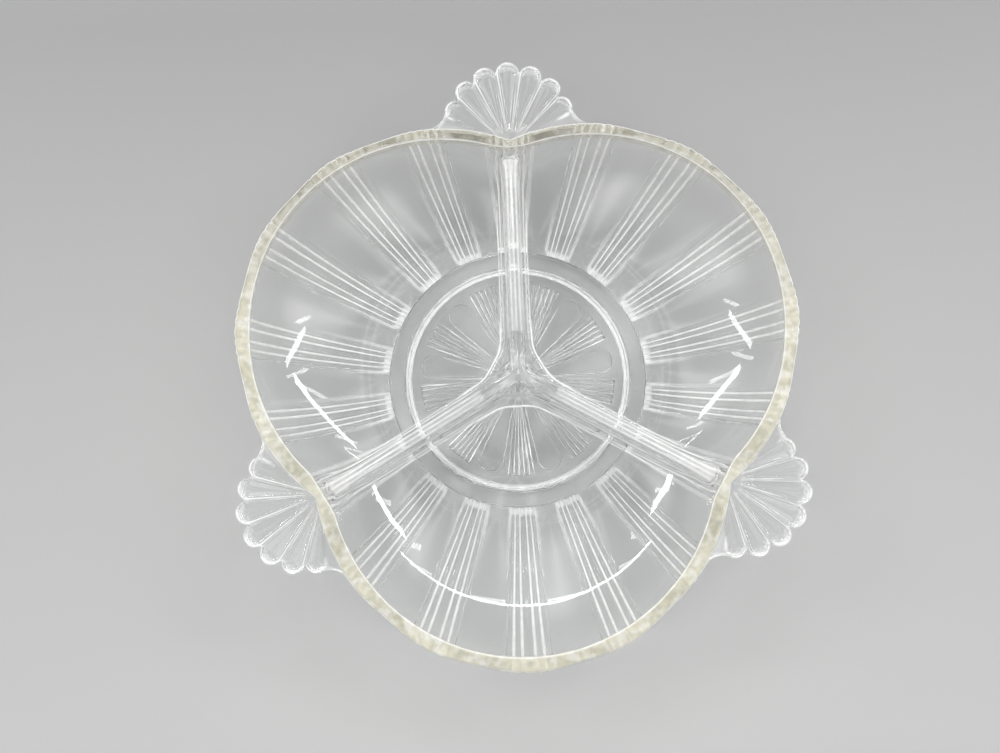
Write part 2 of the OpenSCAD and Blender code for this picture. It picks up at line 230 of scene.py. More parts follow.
class Piece:
    """Points, triangles, and a normal for each corner, gathered surface by surface."""

    def __init__(self):
        self.points, self.tris, self.normals, self.kinds, self.marks = [], [], [], [], []
        self.count = 0

    def add_points(self, p, painted_glint=0.0, painted_glow=0.0):
        """Adds points and returns their numbers in the same shape. Each has a mark for its
        painted glint and one for its painted glow."""
        flat = p.reshape(-1, 3)
        ids = np.arange(self.count, self.count + len(flat)).reshape(p.shape[:-1])
        self.points.append(flat)
        marks = [np.broadcast_to(mark, p.shape[:-1]).ravel() for mark in (painted_glint, painted_glow)]
        self.marks.append(np.stack(marks, axis=-1))
        self.count += len(flat)
        return ids

    def add_tris(self, tris, normals, kind):
        """Adds triangles of one kind, glass or joint, or of a kind for each."""
        self.tris.append(tris)
        self.normals.append(normals)
        self.kinds.append(np.broadcast_to(kind, len(tris)))

    def grid(self, p, kind=GLASS, flip=False, normals=None, wrap=False, painted_glint=0.0, painted_glow=0.0):
        """A grid of quads, each cut into two triangles. The face points along the cross
        product of row step and column step, or the other way when flipped. It is of one kind,
        or of a kind for each quad."""
        ids = self.add_points(p, painted_glint, painted_glow)
        n = grid_normals(p, wrap) if normals is None else normals
        if flip:
            n = -n
        local = ids - ids.flat[0]
        a, b, c, d = local[:-1, :-1], local[1:, :-1], local[1:, 1:], local[:-1, 1:]
        quads = np.stack([a, b, c, d], axis=-1).reshape(-1, 4)
        tris = np.concatenate([quads[:, [0, 1, 2]], quads[:, [0, 2, 3]]])
        if flip:
            tris = tris[:, ::-1]
        cell = np.broadcast_to(kind, a.shape).reshape(-1)
        self.add_tris(tris + ids.flat[0], n.reshape(-1, 3)[tris], np.concatenate([cell, cell]))
        return ids

    def zip(self, a, ta, b, tb, kind=JOINT, flip=False, normal=None):
        """Joins two edges that run the same way. Going along both at once, each step takes
        the edge whose next parameter comes first, and adds one triangle."""
        steps = np.concatenate([ta[1:], tb[1:]])
        from_a = np.concatenate([np.ones(len(ta) - 1, bool), np.zeros(len(tb) - 1, bool)])
        from_a = from_a[np.argsort(steps, kind="stable")]
        ia = np.cumsum(from_a) - from_a
        ib = np.cumsum(~from_a) - ~from_a
        next_a, next_b = a[np.minimum(ia + 1, len(a) - 1)], b[np.minimum(ib + 1, len(b) - 1)]
        tris = np.stack([a[ia], b[ib], np.where(from_a, next_a, next_b)], axis=-1)
        if flip:
            tris = tris[:, ::-1]
        corner = np.concatenate(self.points)[tris]
        face = unit(np.cross(corner[:, 1] - corner[:, 0], corner[:, 2] - corner[:, 0]))
        n = face[:, None] if normal is None else normal
        self.add_tris(tris, np.broadcast_to(n, (len(tris), 3, 3)), kind)

    def close_ends(self, a, b):
        """Joins the first columns of two grids, and their last, by their share of the rows."""
        rows_a, rows_b = np.linspace(0, 1, len(a)), np.linspace(0, 1, len(b))
        self.zip(a[:, 0], rows_a, b[:, 0], rows_b)
        self.zip(a[:, -1], rows_a, b[:, -1], rows_b, flip=True)

    def turned(self, angle):
        """The same piece turned about the hub, anticlockwise seen from above."""
        c, s = math.cos(angle), math.sin(angle)
        turn = np.array([[c, s, 0], [-s, c, 0], [0, 0, 1]])
        other = Piece()
        other.points = [p @ turn for p in self.points]
        other.normals = [n @ turn for n in self.normals]
        other.tris, other.kinds, other.marks = self.tris, self.kinds, self.marks
        other.count = self.count
        return other

    def merged(self):
        """The piece's arrays with coinciding points merged. Triangles that shrink to a line,
        or meet another back to back, are dropped."""
        points = np.concatenate(self.points)
        keys = np.round(points * STEPS_PER_MM).astype(np.int64)
        _, first, back = np.unique(keys, axis=0, return_index=True, return_inverse=True)
        back = back.reshape(-1)
        tris = back[np.concatenate(self.tris)]
        whole = np.flatnonzero(np.all(tris != np.roll(tris, 1, axis=1), axis=1))
        _, same, times = np.unique(np.sort(tris[whole], axis=1), axis=0,
                                   return_inverse=True, return_counts=True)
        kept = whole[times[same.reshape(-1)] == 1]
        marks = np.zeros((len(first), len(MARKS)))
        np.maximum.at(marks, back, np.concatenate(self.marks))
        normals, kinds = np.concatenate(self.normals), np.concatenate(self.kinds)
        return points[first], tris[kept], normals[kept], kinds[kept], marks

    def build(self, name, slot, finishes, *nodes, crisp=1.0, spread=0.6):
        """Makes the object, which rides on the one body and stands for its nodes."""
        points, tris, normals, kinds, marks = self.merged()
        outside = kinds == GLASS
        marks[:, 0] = painted_glint_edges(points, tris[outside], normals[outside], marks[:, 0], crisp, spread)
        piece = bpy.data.objects.new(name, glass_mesh(name, points, tris, normals, kinds, marks, finishes))
        bpy.context.scene.collection.objects.link(piece)
        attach(piece, "root")
        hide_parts(*nodes)
        print(f"{name}: {len(tris)} triangles")
        return piece


def joined(parts):
    """One piece from several that were made or turned apart."""
    whole = Piece()
    for part in parts:
        whole.points += part.points
        whole.tris += [t + whole.count for t in part.tris]
        whole.normals += part.normals
        whole.kinds += part.kinds
        whole.marks += part.marks
        whole.count += part.count
    return whole


# %% [markdown]
# ## The bowl's plan
#
# From above, the rim is three circles that overlap. They could be joined with a Boolean, but
# that leaves uneven faces at the cusps. Around the hub, the distance to such a circle is a
# cosine and a square root, so all walls can be written in polar form instead. The inner line
# is rounded where two lobes meet, because the plunger of a press has no sharp edges.

# %% Lobes in polar form
CUSP_SOFT = 5.0


def lobe_edge(radius, off):
    """Distance from the hub to a circle of that radius about the lobe's middle, at an angle
    off from the lobe's direction: shift times cosine, plus the root of what is left."""
    return LOBE_SHIFT * np.cos(off) + np.sqrt(radius**2 - (LOBE_SHIFT * np.sin(off))**2)


def soft_max(a, b, k):
    """The larger of two values, rounded over where they differ by less than k: there, a
    quarter of k times the square of how near they are is added."""
    h = np.maximum(k - np.abs(a - b), 0) / k
    return np.maximum(a, b) + h * h * k / 4


def soft_min(a, b, k):
    """The smaller of two values, rounded over where they differ by less than k."""
    return -soft_max(-a, -b, k)


def inner_edge(off):
    """The rim's inner line: this lobe's circle, run softly into its neighbour's."""
    other = 2 * SECTOR - np.abs(off)
    return soft_max(lobe_edge(RIM_IN_R, off), lobe_edge(RIM_IN_R, other), CUSP_SOFT)


def polar(r, off, z):
    """Points at a distance and angle about the hub, at a height."""
    r, off, z = np.broadcast_arrays(r, off, z)
    return np.stack([r * np.cos(off), r * np.sin(off), z], axis=-1)


# %% The wall's curve
def run_share(turn):
    """Share of the wall's run: its curve turns evenly, so run goes with the sine."""
    return np.sin(turn) / math.sin(SWEEP)


def rise_share(turn):
    """Share of the wall's rise, which goes with one minus the cosine."""
    return (1 - np.cos(turn)) / (1 - math.cos(SWEEP))


# %% [markdown]
# ## The dividers' height
#
# A divider is a steep wall with a round crest and a hollow curve at its foot. It could be a
# profile carried along a line, but three of them have to run into one another at the hub. As a
# stack of outlines that is easy to write: at each height there is a half-width, and a point is
# inside where its distance to the middle line is less. The top surface is the highest such
# level. Near the hub the three distances run together softly, more at the foot than at the
# crest, which gives the compartments their round inner corners.

# %% Half-widths and distances of the dividers
HALF_FOOT = 5.8
HALF_CREST = 2.1
FILLET = 2.6
HALF_SIDE = HALF_FOOT - FILLET
CREST_ROUND = 1.2
SIDE_HIGH = RIDGE_Z - CREST_ROUND
SIDE_LOW = FLOOR_Z + FILLET
PAST_CREST = 2
FLARE_LEN, FLARE_SHARE, FLARE_MOST = 10.0, 0.5, 1.2
ARMS = (-SECTOR, SECTOR, math.pi)
ridge_turn = math.acos(1 - (RIDGE_Z - FLOOR_Z) / (RIM_Z - FLOOR_Z) * (1 - math.cos(SWEEP)))
DIVIDER_END = FLAT_R + (float(inner_edge(SECTOR)) - FLAT_R) * float(run_share(ridge_turn))
print(f"a divider's crest meets the wall {DIVIDER_END:.1f} mm from the hub")


def flare(along):
    """How much wider a divider is near the rim: one plus a share of the square of the way."""
    way = np.clip((along - DIVIDER_END + FLARE_LEN) / FLARE_LEN, 0, FLARE_MOST)
    return 1 + FLARE_SHARE * way**2


def arm_distance(x, y, angle):
    """Distance to a divider's middle line, which starts at the hub."""
    along = x * math.cos(angle) + y * math.sin(angle)
    across = np.abs(y * math.cos(angle) - x * math.sin(angle))
    return np.where(along > 0, across / flare(along), np.hypot(along, across))


def half_width(z, base):
    """Half the divider's width at a height: the steep side or the round crest, plus a quarter
    circle that spreads it towards the base. Past the crest it falls below nothing."""
    slope = (HALF_SIDE - HALF_CREST) / (SIDE_HIGH - SIDE_LOW)
    side = np.minimum(HALF_CREST + (SIDE_HIGH - z) * slope, HALF_SIDE)
    arc = np.sqrt(np.clip(1 - ((z - SIDE_HIGH) / CREST_ROUND)**2, 0, 1))
    crest = HALF_CREST * arc - PAST_CREST * np.maximum(z - RIDGE_Z, 0)
    low = np.clip(1 - (z - base) / FILLET, 0, 1)
    return np.where(z < SIDE_HIGH, side, crest) + FILLET * (1 - np.sqrt(1 - low**2))


# %% Heights of the dividers
CORNER_LOW, CORNER_HIGH = 8.7, 1.5
LEVELS = 140


def divider_height(x, y, base):
    """The highest level at which a point lies inside the outlines, found by walking up the
    levels and cutting the line between the last one inside and the first one outside. The
    levels crowd at both ends, as one minus a cosine does."""
    a, b, c = (arm_distance(x, y, arm) for arm in ARMS)
    top = np.maximum(RIDGE_Z, base) + FILLET / 2
    height, last_z, last_gap = base.copy(), base, None
    for q in 0.5 - 0.5 * np.cos(np.pi * np.linspace(0, 1, LEVELS)):
        z = base + (top - base) * q
        share = np.clip((z - FLOOR_Z) / (RIDGE_Z - FLOOR_Z), 0, 1)
        k = CORNER_LOW + (CORNER_HIGH - CORNER_LOW) * share
        gap = half_width(z, base) - soft_min(soft_min(a, b, k), c, k)
        if last_gap is not None:
            crossed = (last_gap >= 0) & (gap < 0)
            part = last_gap / np.where(crossed, last_gap - gap, 1)
            height = np.where(crossed, last_z + part * (z - last_z), height)
        last_z, last_gap = z, gap
    return height


# %% [markdown]
# ## The top surface, one lobe at a time
#
# The inside of the bowl is one smooth face on the real tray. It could be one dense square
# grid, but the dividers' steep sides would fall between its points. So a lobe's grid has a
# strip of columns along each half divider, which crowd where its side is steep, and an open
# zone between them. Its rows are circles on the floor and lines of equal height on the wall,
# so the strip's edge is where the foot's curve runs out.

# %% Rows and columns of the top surface
HUB_R = 14.0
SIDE_START, SIDE_END = 0.33, 0.62
CREST_COLUMNS, SIDE_COLUMNS, FOOT_COLUMNS, OPEN_COLUMNS = 9, 22, 14, 100
HUB_ROWS, FLOOR_ROWS, FLAT_ROWS, WALL_ROWS = 56, 12, 4, 48
SECTOR_PASSES = 12
strip = np.concatenate([np.linspace(0, SIDE_START, CREST_COLUMNS),
                        np.linspace(SIDE_START, SIDE_END, SIDE_COLUMNS)[1:],
                        np.linspace(SIDE_END, 1, FOOT_COLUMNS)[1:]])
hub_rows = np.linspace(0, HUB_R, HUB_ROWS)
floor_rows = np.linspace(HUB_R, FOOT_R, FLOOR_ROWS)
flat_rows = np.linspace(FOOT_R, FLAT_R, FLAT_ROWS)
turns = np.linspace(0, SWEEP, WALL_ROWS)[1:]
run_rows = np.concatenate([np.zeros(FLAT_ROWS), run_share(turns)])
start_rows = np.concatenate([flat_rows, (1 - run_share(turns)) * FLAT_R])
wall_z = FLOOR_Z + (RIM_Z - FLOOR_Z) * np.concatenate([np.zeros(FLAT_ROWS), rise_share(turns)])


def sector_grid(start, run, z):
    """Distance, angle and height of each point of a lobe's rows. A row lies at a start plus a
    share of the way to the inner edge. In a strip, the angle from the divider's middle is the
    arcsine of the point's share of the half-width over its distance, found by repeating."""
    start, run = start[:, None], run[:, None]
    turn = np.zeros((len(start), len(strip)))
    for _ in range(SECTOR_PASSES):
        r = start + run * inner_edge(SECTOR - turn)
        wide = strip * HALF_FOOT * flare(r * np.cos(turn))
        turn = np.arcsin(np.clip(wide / r, -1, 1))
    edge = SECTOR - turn
    share = np.linspace(-1, 1, OPEN_COLUMNS + 1)[1:-1]
    off = np.concatenate([-edge, edge[:, -1:] * share, edge[:, ::-1]], axis=1)
    r = start + run * inner_edge(off)
    return r, off, np.broadcast_to(z[:, None], r.shape)


floor_r, floor_off, floor_z = sector_grid(floor_rows, np.zeros(FLOOR_ROWS), np.full(FLOOR_ROWS, FLOOR_Z))
wall_r, wall_off, wall_zz = sector_grid(start_rows, run_rows, wall_z)
COLUMNS = floor_off.shape[1]
hub_off = np.broadcast_to(floor_off[0], (HUB_ROWS, COLUMNS))
hub_r = np.broadcast_to(hub_rows[:, None], hub_off.shape)
print(f"top surface: {COLUMNS} columns a lobe, strips of {len(strip)}")

# %% Normals and strips of a lobe's grid
SINK = 0.8
from_end = np.minimum(np.arange(COLUMNS), np.arange(COLUMNS)[::-1])
in_strip = from_end < len(strip) - 1
strip_cells = (from_end[1:] < len(strip)) & (from_end[:-1] < len(strip))


def mirrored(p):
    """Normals of a lobe's grid. It is its own mirror image past both end planes, so a column
    mirrored past each end makes the slopes there exact. Where there is no slope it is up."""
    ends = []
    for column, angle in ((p[:, 1], -SECTOR), (p[:, -2], SECTOR)):
        c, s = math.cos(2 * angle), math.sin(2 * angle)
        flip = np.array([[c, s, 0], [s, -c, 0], [0, 0, 1]])
        ends.append((column @ flip)[:, None])
    n = grid_normals(np.concatenate([ends[0], p, ends[1]], axis=1))[:, 1:-1]
    n[np.linalg.norm(n, axis=-1) < 0.5] = [0, 0, 1]
    return n


def sunk(p, rows_too=False):
    """A copy whose points inside the strips, and in some rows too, lie a little lower, where
    inner faces go."""
    low = p.copy()
    low[..., 2] -= SINK * (in_strip | np.broadcast_to(rows_too, len(p))[:, None])
    return low


# %% [markdown]
# ## Floor plate
#
# The floor of the well is a flat disc. A cylinder would do for its shape, but its faces have
# to match its neighbours' point for point. So it shares their columns. Its top is glass in the
# three compartments only. Under the hub and the dividers it has inner faces, and so it has
# below, where the foot ring and the sunburst are fused to it. Only a plain band between those
# two shows from below.

# %% Make the floor plate
ring_in = FOOT_R - FOOT_W
BEAD, BEAD_DEEP = 1.6, 0.75
bead_mid = ring_in - BEAD
bead_in = bead_mid - BEAD / 2
UP = [0.0, 0.0, 1.0]


def floor_sector():
    """One lobe's third of the disc: rows of circles at the floor's height, a flat underside,
    and a band of inner faces around its edge."""
    part = Piece()
    r = np.concatenate([hub_r[:-1], floor_r])
    off = np.concatenate([hub_off[:-1], floor_off])
    top = polar(r, off, FLOOR_Z)
    row = np.arange(len(r))
    open_cells = (row[:-1] >= HUB_ROWS - 1)[:, None] & ~strip_cells
    part.grid(sunk(top, row < HUB_ROWS - 1), kind=np.where(open_cells, GLASS, JOINT),
              normals=np.broadcast_to(UP, top.shape))
    low = polar(np.array([0, SUN_R, bead_in, FOOT_R])[:, None], off[-1], FOOT_H)
    part.grid(low, kind=np.array([[JOINT], [GLASS], [JOINT]]), flip=True,
              normals=np.broadcast_to(UP, low.shape))
    part.grid(np.stack([sunk(top)[-1], low[-1]]), JOINT)
    return part


# %% [markdown]
# ## Hub and dividers
#
# On the real tray the three dividers are one star-shaped wall. They could be cut from one
# mesh afterwards, but the cuts would leave ragged edges. So the hub and the dividers share one
# height formula and meet at a circle about the hub, where both have the same points. Each is
# closed below by inner faces that match the floor's and the walls'. Where a divider's foot runs
# out on the floor, a thin white line is painted on as a highlight.

# %% Make the hub
LINE_STARTS, LINE_ENDS = (0.0, 0.004), (0.02, 0.04)
hub_top = polar(hub_r, hub_off, 0)
hub_top[..., 2] = divider_height(hub_top[..., 0], hub_top[..., 1], np.full(hub_r.shape, FLOOR_Z))
hub_top[-1, ~in_strip, 2] = FLOOR_Z


def foot_line(top, base):
    """1 in the thin band where the hollow foot of a divider leaves the face below it, by the
    height over that face in millimetres: where a painted highlight goes."""
    rise = (top - base)[..., 2]
    return smooth_step(*LINE_STARTS, rise) * (1 - smooth_step(*LINE_ENDS, rise))


def hub_sector():
    """One lobe's third of the hub, closed below by the floor's height and around its edge."""
    part = Piece()
    low = hub_top.copy()
    low[..., 2] = FLOOR_Z
    # The divider's foot line gets a painted highlight.
    part.grid(hub_top, normals=mirrored(hub_top), painted_glint=foot_line(hub_top, low))
    low = sunk(low, np.arange(HUB_ROWS) < HUB_ROWS - 1)
    part.grid(low, JOINT, flip=True)
    part.grid(np.stack([hub_top[-1], low[-1]]), JOINT)
    return part


# %% [markdown]
# ## Flutes along the dividers
#
# A divider isn't plain: fine lines run along it from the hub to the rim, such as the cutting
# of the plunger can leave. They could be a bump in the finish, but then they wouldn't follow
# the divider as it widens. So they are shallow flutes in its surface. The ridges between
# flutes get painted glints, and the whole divider a little painted glow, more so at its far
# end, which stands in for the light that it carries.

# %% Heights and marks of the dividers
FLUTE, FLUTE_DEEP, FLUTE_START, FLUTE_ENDS = 1.4, 0.1, 6, (64, 71)
RIDGE_NARROW, RIDGE_WIDE, RIDGE_SPAN = 0.05, 0.14, 3.5
# The ridges' painted glint.
RIDGE_START, RIDGE_ENDS, RIDGE_GLINT = 4, (69, 75), 0.6
LINE_FADES = (58, 66)
# Painted glow on the dividers, standing in for light carried along them, more at the far end.
GLOW_NEAR, GLOW_MORE, GLOW_GROWS, GLOW_OVER = 0.25, 0.2, (56, 66), 3
divider_r = np.concatenate([floor_r[:-1], wall_r])
divider_off = np.concatenate([floor_off[:-1], wall_off])
divider_base = polar(divider_r, divider_off, np.concatenate([floor_z[:-1], wall_zz]))
across = np.concatenate([strip, np.ones(OPEN_COLUMNS - 1), strip[::-1]]) * HALF_FOOT


def fluted_top():
    """The strips' points with the divider's height, less flutes as deep as the absolute sine
    of the way across. They fade in from the hub and out at the rim."""
    base_z = divider_base[..., 2]
    height = divider_height(divider_base[..., 0], divider_base[..., 1], base_z)
    flute = FLUTE_DEEP * np.abs(np.sin(np.pi * across / FLUTE))
    flute = flute * smooth_step(HUB_R, HUB_R + FLUTE_START, divider_r)
    flute = flute * (1 - smooth_step(*FLUTE_ENDS, divider_r))
    height = np.where(height > base_z, np.maximum(height - flute, base_z), height)
    top = divider_base.copy()
    top[:-1, in_strip, 2] = np.maximum(height, base_z)[:-1, in_strip]
    return top


def divider_marks(top):
    """Painted glints along the foot's line and along each ridge, which is near where the way
    across is a whole number of flutes, and painted glow on all that stands well over the face
    below."""
    off_ridge = np.abs(across / FLUTE - np.round(across / FLUTE))
    ridge = (1 - smooth_step(RIDGE_NARROW, RIDGE_WIDE, off_ridge)) * (across < RIDGE_SPAN * FLUTE)
    along = smooth_step(HUB_R, HUB_R + RIDGE_START, divider_r)
    along = along * (1 - smooth_step(*RIDGE_ENDS, divider_r))
    line = foot_line(top, divider_base) * (1 - smooth_step(*LINE_FADES, divider_r))
    glow = GLOW_NEAR + GLOW_MORE * smooth_step(*GLOW_GROWS, divider_r)
    stands = top[..., 2] > divider_base[..., 2] + GLOW_OVER
    return np.maximum(line, RIDGE_GLINT * ridge * along), glow * stands


divider_top = fluted_top()
divider_glint, divider_glow = divider_marks(divider_top)
print(f"dividers stand {np.max((divider_top - divider_base)[..., 2]):.1f} mm over the floor")

# %% Make the dividers
def half_divider(first):
    """One lobe's half of a divider: the strip at the first or the last end of its columns."""
    part = Piece()
    cut = slice(0, len(strip)) if first else slice(-len(strip), None)
    low = sunk(divider_base)
    low[-1] = divider_base[-1]
    part.grid(divider_top[:, cut], normals=mirrored(divider_top)[:, cut],
              painted_glint=divider_glint[:, cut], painted_glow=divider_glow[:, cut])
    part.grid(low[:, cut], JOINT, flip=True)
    part.grid(np.stack([low[0, cut], divider_top[0, cut]]), JOINT)
    return part


def whole_divider(k):
    """The last strip of lobe k and the first strip of the next lobe meet in one divider."""
    here, there = TURNS[k], TURNS[(k + 1) % 3]
    return joined([half_divider(False).turned(here), half_divider(True).turned(there)])


# %% [markdown]
# ## The pattern of the outside
#
# The outside of the bowl has groups of ribs between gently bulging panels: a wide rib with two
# narrow ones on each side. They could be separate half-round bars, but pressed ribs grow out
# of the wall. So they are a height over the wall as a function of the angle. Each rib has a
# round top, and neighbours meet in a sharp groove, as cut steel leaves them.

# %% Ribs and panels as a function of the angle
GROUP = math.radians(20)
HALF_WIDE = math.radians(1.35)
REED = math.radians(1.8)
HALF_GROUP = HALF_WIDE + 2 * REED
PANEL = GROUP - 2 * HALF_GROUP
PANEL_BULGE = 0.18
BLUNT = 0.15


def round_top(x):
    """A circle-like top from 0 at x = -1 to 1 in the middle and 0 at x = 1. Being blunt, it
    leaves out the steepest part at both ends."""
    low = math.sqrt(BLUNT)
    top = np.sqrt(1 + BLUNT - np.clip(np.abs(x), 0, 1)**2)
    return (top - low) / (math.sqrt(1 + BLUNT) - low)


def relief(off):
    """Height of the outside's pattern at an angle from the lobe's direction."""
    a = np.abs(off - GROUP * np.round(off / GROUP))
    wide = round_top(a / HALF_WIDE)
    reed = round_top(2 * ((a - HALF_WIDE) / REED % 1) - 1)
    panel = np.sin(np.pi * np.clip((a - HALF_GROUP) / PANEL, 0, 1))
    return np.where(a < HALF_WIDE, REED_DEPTH * wide,
                    np.where(a < HALF_GROUP, REED_DEPTH * reed, PANEL_BULGE * panel))


# %% Where a handle meets the rim
LAST_PETAL, PITCH = 3, math.radians(18.3)
FAN_BACK = 2.2
FAN_X = CUSP_R - FAN_BACK
FAN_LEN = TIP_R - FAN_X
SIDE_SHARE = 0.89
WEB_R = 7.5


def petal_round(k):
    """Radius of a petal's end, where it just touches lines half a pitch to each side."""
    length = FAN_LEN * (1 - (1 - SIDE_SHARE) * (np.abs(k) / LAST_PETAL)**2)
    return length * math.sin(PITCH / 2) / (1 + math.sin(PITCH / 2))


def petal_mid(k):
    """Distance from the fan's point to the middle of a petal's end."""
    return petal_round(k) / math.sin(PITCH / 2)


def petal_place(k):
    """The middle of a petal's end, from the hub, for a handle along x."""
    return np.array([FAN_X + petal_mid(k) * math.cos(k * PITCH), petal_mid(k) * math.sin(k * PITCH)])


def web_points():
    """The hollow curve beside the last petal touches that petal's end and the lobe. Its
    middle is where circles about those two cross. Returns it and the touch on each."""
    last = petal_place(LAST_PETAL)
    from_petal, from_lobe = petal_round(LAST_PETAL) + WEB_R, LOBE_R + WEB_R
    apart = np.linalg.norm(last - lobe_place)
    along = (from_lobe**2 - from_petal**2 + apart**2) / (2 * apart)
    out = math.sqrt(from_lobe**2 - along**2)
    to = (last - lobe_place) / apart
    middle = lobe_place + along * to + out * np.array([-to[1], to[0]])
    on_petal = last + (middle - last) * petal_round(LAST_PETAL) / from_petal
    on_lobe = lobe_place + (middle - lobe_place) * LOBE_R / from_lobe
    return middle, on_petal, on_lobe


lobe_place = LOBE_SHIFT * np.array([math.cos(SECTOR), math.sin(SECTOR)])
web_middle, web_on_petal, web_on_lobe = web_points()
HANDLE_OFF = SECTOR - math.atan2(web_on_lobe[1], web_on_lobe[0])
print(f"handles meet the rim {math.degrees(SECTOR - HANDLE_OFF):.1f} degrees from their middles")

# %% [markdown]
# ## Walls
#
# A wall is the curved side of one compartment, smooth inside and ribbed outside. It could be
# one surface with a Solidify modifier, but that copies the ribs to the inside. So it has two
# surfaces, each with the columns that it needs: the inside shares the dividers' strips, and
# the outside has a column on every crest and groove. The ribs' blunt lower ends get painted
# glints.

# %% The outside of a wall
GROUPS_ASIDE = 3
WIDE_COLUMNS, REED_COLUMNS, PANEL_COLUMNS = 7, 9, 8
SAME_ANGLE, ANGLE_DIGITS = 1e-5, 7
OUTSIDE_ROWS = 52
LEVEL_FROM = 0.86


def outer_columns():
    """Angles that catch the edges and crests of every rib, plus the handles' ends."""
    reed = np.linspace(0, REED, REED_COLUMNS)[1:]
    half = np.concatenate([np.linspace(0, HALF_WIDE, WIDE_COLUMNS), HALF_WIDE + reed,
                           HALF_WIDE + REED + reed,
                           HALF_GROUP + np.linspace(0, PANEL / 2, PANEL_COLUMNS)[1:]])
    groups = np.arange(-GROUPS_ASIDE, GROUPS_ASIDE + 1) * GROUP
    angles = (groups[:, None] + np.concatenate([-half[::-1], half])).ravel()
    angles = np.concatenate([angles, [-HANDLE_OFF, HANDLE_OFF]])
    angles = np.unique(np.round(angles, ANGLE_DIGITS))
    return np.concatenate([[-SECTOR], angles[np.abs(angles) < SECTOR - SAME_ANGLE], [SECTOR]])


def wall_outside():
    """The outside's curve, which starts beside the foot, plus the relief square to it. The
    direction swings level at the top, so that the last row lies at one height."""
    t, off = outer_turns[:, None], outer_off
    start, rise = FOOT_R + REED_START, RIM_Z - FOOT_H
    run = lobe_edge(LOBE_R - REED_DEPTH, off) - start
    slope_r = run * np.cos(t) / math.sin(SWEEP)
    slope_z = rise * np.sin(t) / (1 - math.cos(SWEEP))
    level = smooth_step(LEVEL_FROM, 1, t / SWEEP)
    length = np.hypot(slope_r, slope_z)
    out_r, out_z = slope_z / length * (1 - level) + level, -slope_r / length * (1 - level)
    first = np.arange(len(t))[:, None] == 0
    h = np.where(first, 0, relief(off))
    r = np.where(first, FOOT_R, start + run * run_share(t) + h * out_r)
    return polar(r, off, FOOT_H + rise * rise_share(t) + h * out_z)


outer_off = outer_columns()
outer_turns = np.concatenate([[0, 0], SWEEP * np.linspace(0, 1, OUTSIDE_ROWS)[1:]])
wall_top = polar(wall_r, wall_off, wall_zz)
wall_low = wall_outside()
print(f"outside: {len(outer_off)} columns and {len(outer_turns)} rows a lobe")

# %% Make the walls
# The share of painted glint on the ribs' blunt lower ends.
CAP_GLINT, CAP_SHARE = 0.7, 0.35


def wall_sector():
    """One lobe's wall: inside and outside, zipped together at the foot, the rim and both
    ends. The strips under the dividers are inner faces."""
    part = Piece()
    inner = sunk(wall_top)
    inner[-1] = wall_top[-1]
    a = part.grid(inner, kind=np.where(strip_cells, JOINT, GLASS), normals=mirrored(wall_top))
    # Painted glints on the ribs' blunt lower ends.
    cap_row = (np.arange(len(outer_turns)) == 1)[:, None]
    rib_end_glint = CAP_GLINT * cap_row * (relief(outer_off) > CAP_SHARE * REED_DEPTH)
    b = part.grid(wall_low, flip=True, normals=mirrored(wall_low), painted_glint=rib_end_glint)
    part.zip(a[0], wall_off[0], b[0], outer_off, flip=True)
    part.zip(a[-1], wall_off[-1], b[-1], outer_off)
    part.close_ends(a, b)
    return part


# %% [markdown]
# ## Rims
#
# The rim is a thick flat-topped band. It could be one profile carried around, but its outer
# line changes on the way: it dips between the groups of ribs and carries their fine scallops.
# So both sides are grids of their own. At the front and the sides, the rim's top also swells
# a little over the well. Behind the handles the outer line is plain, and there the faces
# between the handle's two surfaces are inner faces.
#
# The band is thick, and light carried through it makes it look bright and cream, most of all
# at the front. That light is painted: its points carry a cream painted glow, which fades
# towards the back as painted shade. Its side faces get less of it, and a painted glint runs
# along both top edges.

# %% Lines and painted glow of the rims
DIP, SCALLOP, PLAIN_FADE = 0.9, 0.3, math.radians(2.5)
LIP, LIP_LESS, LIP_FADES = 1.4, 0.8, (10, 60)
LIP_CUSP = (math.radians(0.5), math.radians(7))
FAN_CLEAR, FAN_FADES = 0.15, (HANDLE_OFF - math.radians(2), HANDLE_OFF + math.radians(3))
# Painted shade: the rim's glow fades towards the back.
BACK_SHADE, BACK_FADES = 0.55, (5, 65)


def outer_line(off):
    """The lobe's circle, less a dip that grows from a rib group to the middle of a panel, and
    less the grooves between the ribs. Both fade out behind the handles."""
    a = off - GROUP * np.round(off / GROUP)
    plain = smooth_step(HANDLE_OFF - PLAIN_FADE, HANDLE_OFF, np.abs(off))
    groove = SCALLOP * (1 - relief(off) / REED_DEPTH) * (np.abs(a) < HALF_GROUP)
    return lobe_edge(LOBE_R, off) - (DIP * np.sin(np.pi * a / GROUP)**2 + groove) * (1 - plain)


def lip(off, turn):
    """How far the rim's top swells inwards: most at the front and the sides, least behind, by
    the distance behind the hub when the lobe is turned to its place, and none at the cusps."""
    behind = inner_edge(off) * np.sin(turn + off)
    cusp = smooth_step(*LIP_CUSP, SECTOR - np.abs(off))
    return LIP * (1 - LIP_LESS * smooth_step(*LIP_FADES, behind)) * cusp


def glow_share(off, turn):
    """The rim's painted glow, for light carried through the thick band: a little less behind the
    handles, and ever less towards the back, by the distance behind the hub, as painted shade."""
    behind = outer_line(off) * np.sin(turn + off)
    by_fan = FAN_CLEAR * smooth_step(*FAN_FADES, np.abs(off))
    return 1 - by_fan - BACK_SHADE * smooth_step(*BACK_FADES, behind)


# %% Make the rims
HANDLE_T, HANDLE_DROP = 3.2, RIM_ROUND
ROOT_TOP = TOP_Z - HANDLE_DROP
ROOT_LOW = ROOT_TOP - HANDLE_T
HALF_SEAM = 0.25
SIDE_FROM, SIDE_ROWS, BEND_ROWS = 0.6, 5, 9
# A painted glint along the top edges, and less painted glow on the side faces.
EDGE_GLINT, SIDE_CLEAR = 0.9, 0.65
GLOWS_IN, GLOWS_OUT = (3, 7), (5, 9)


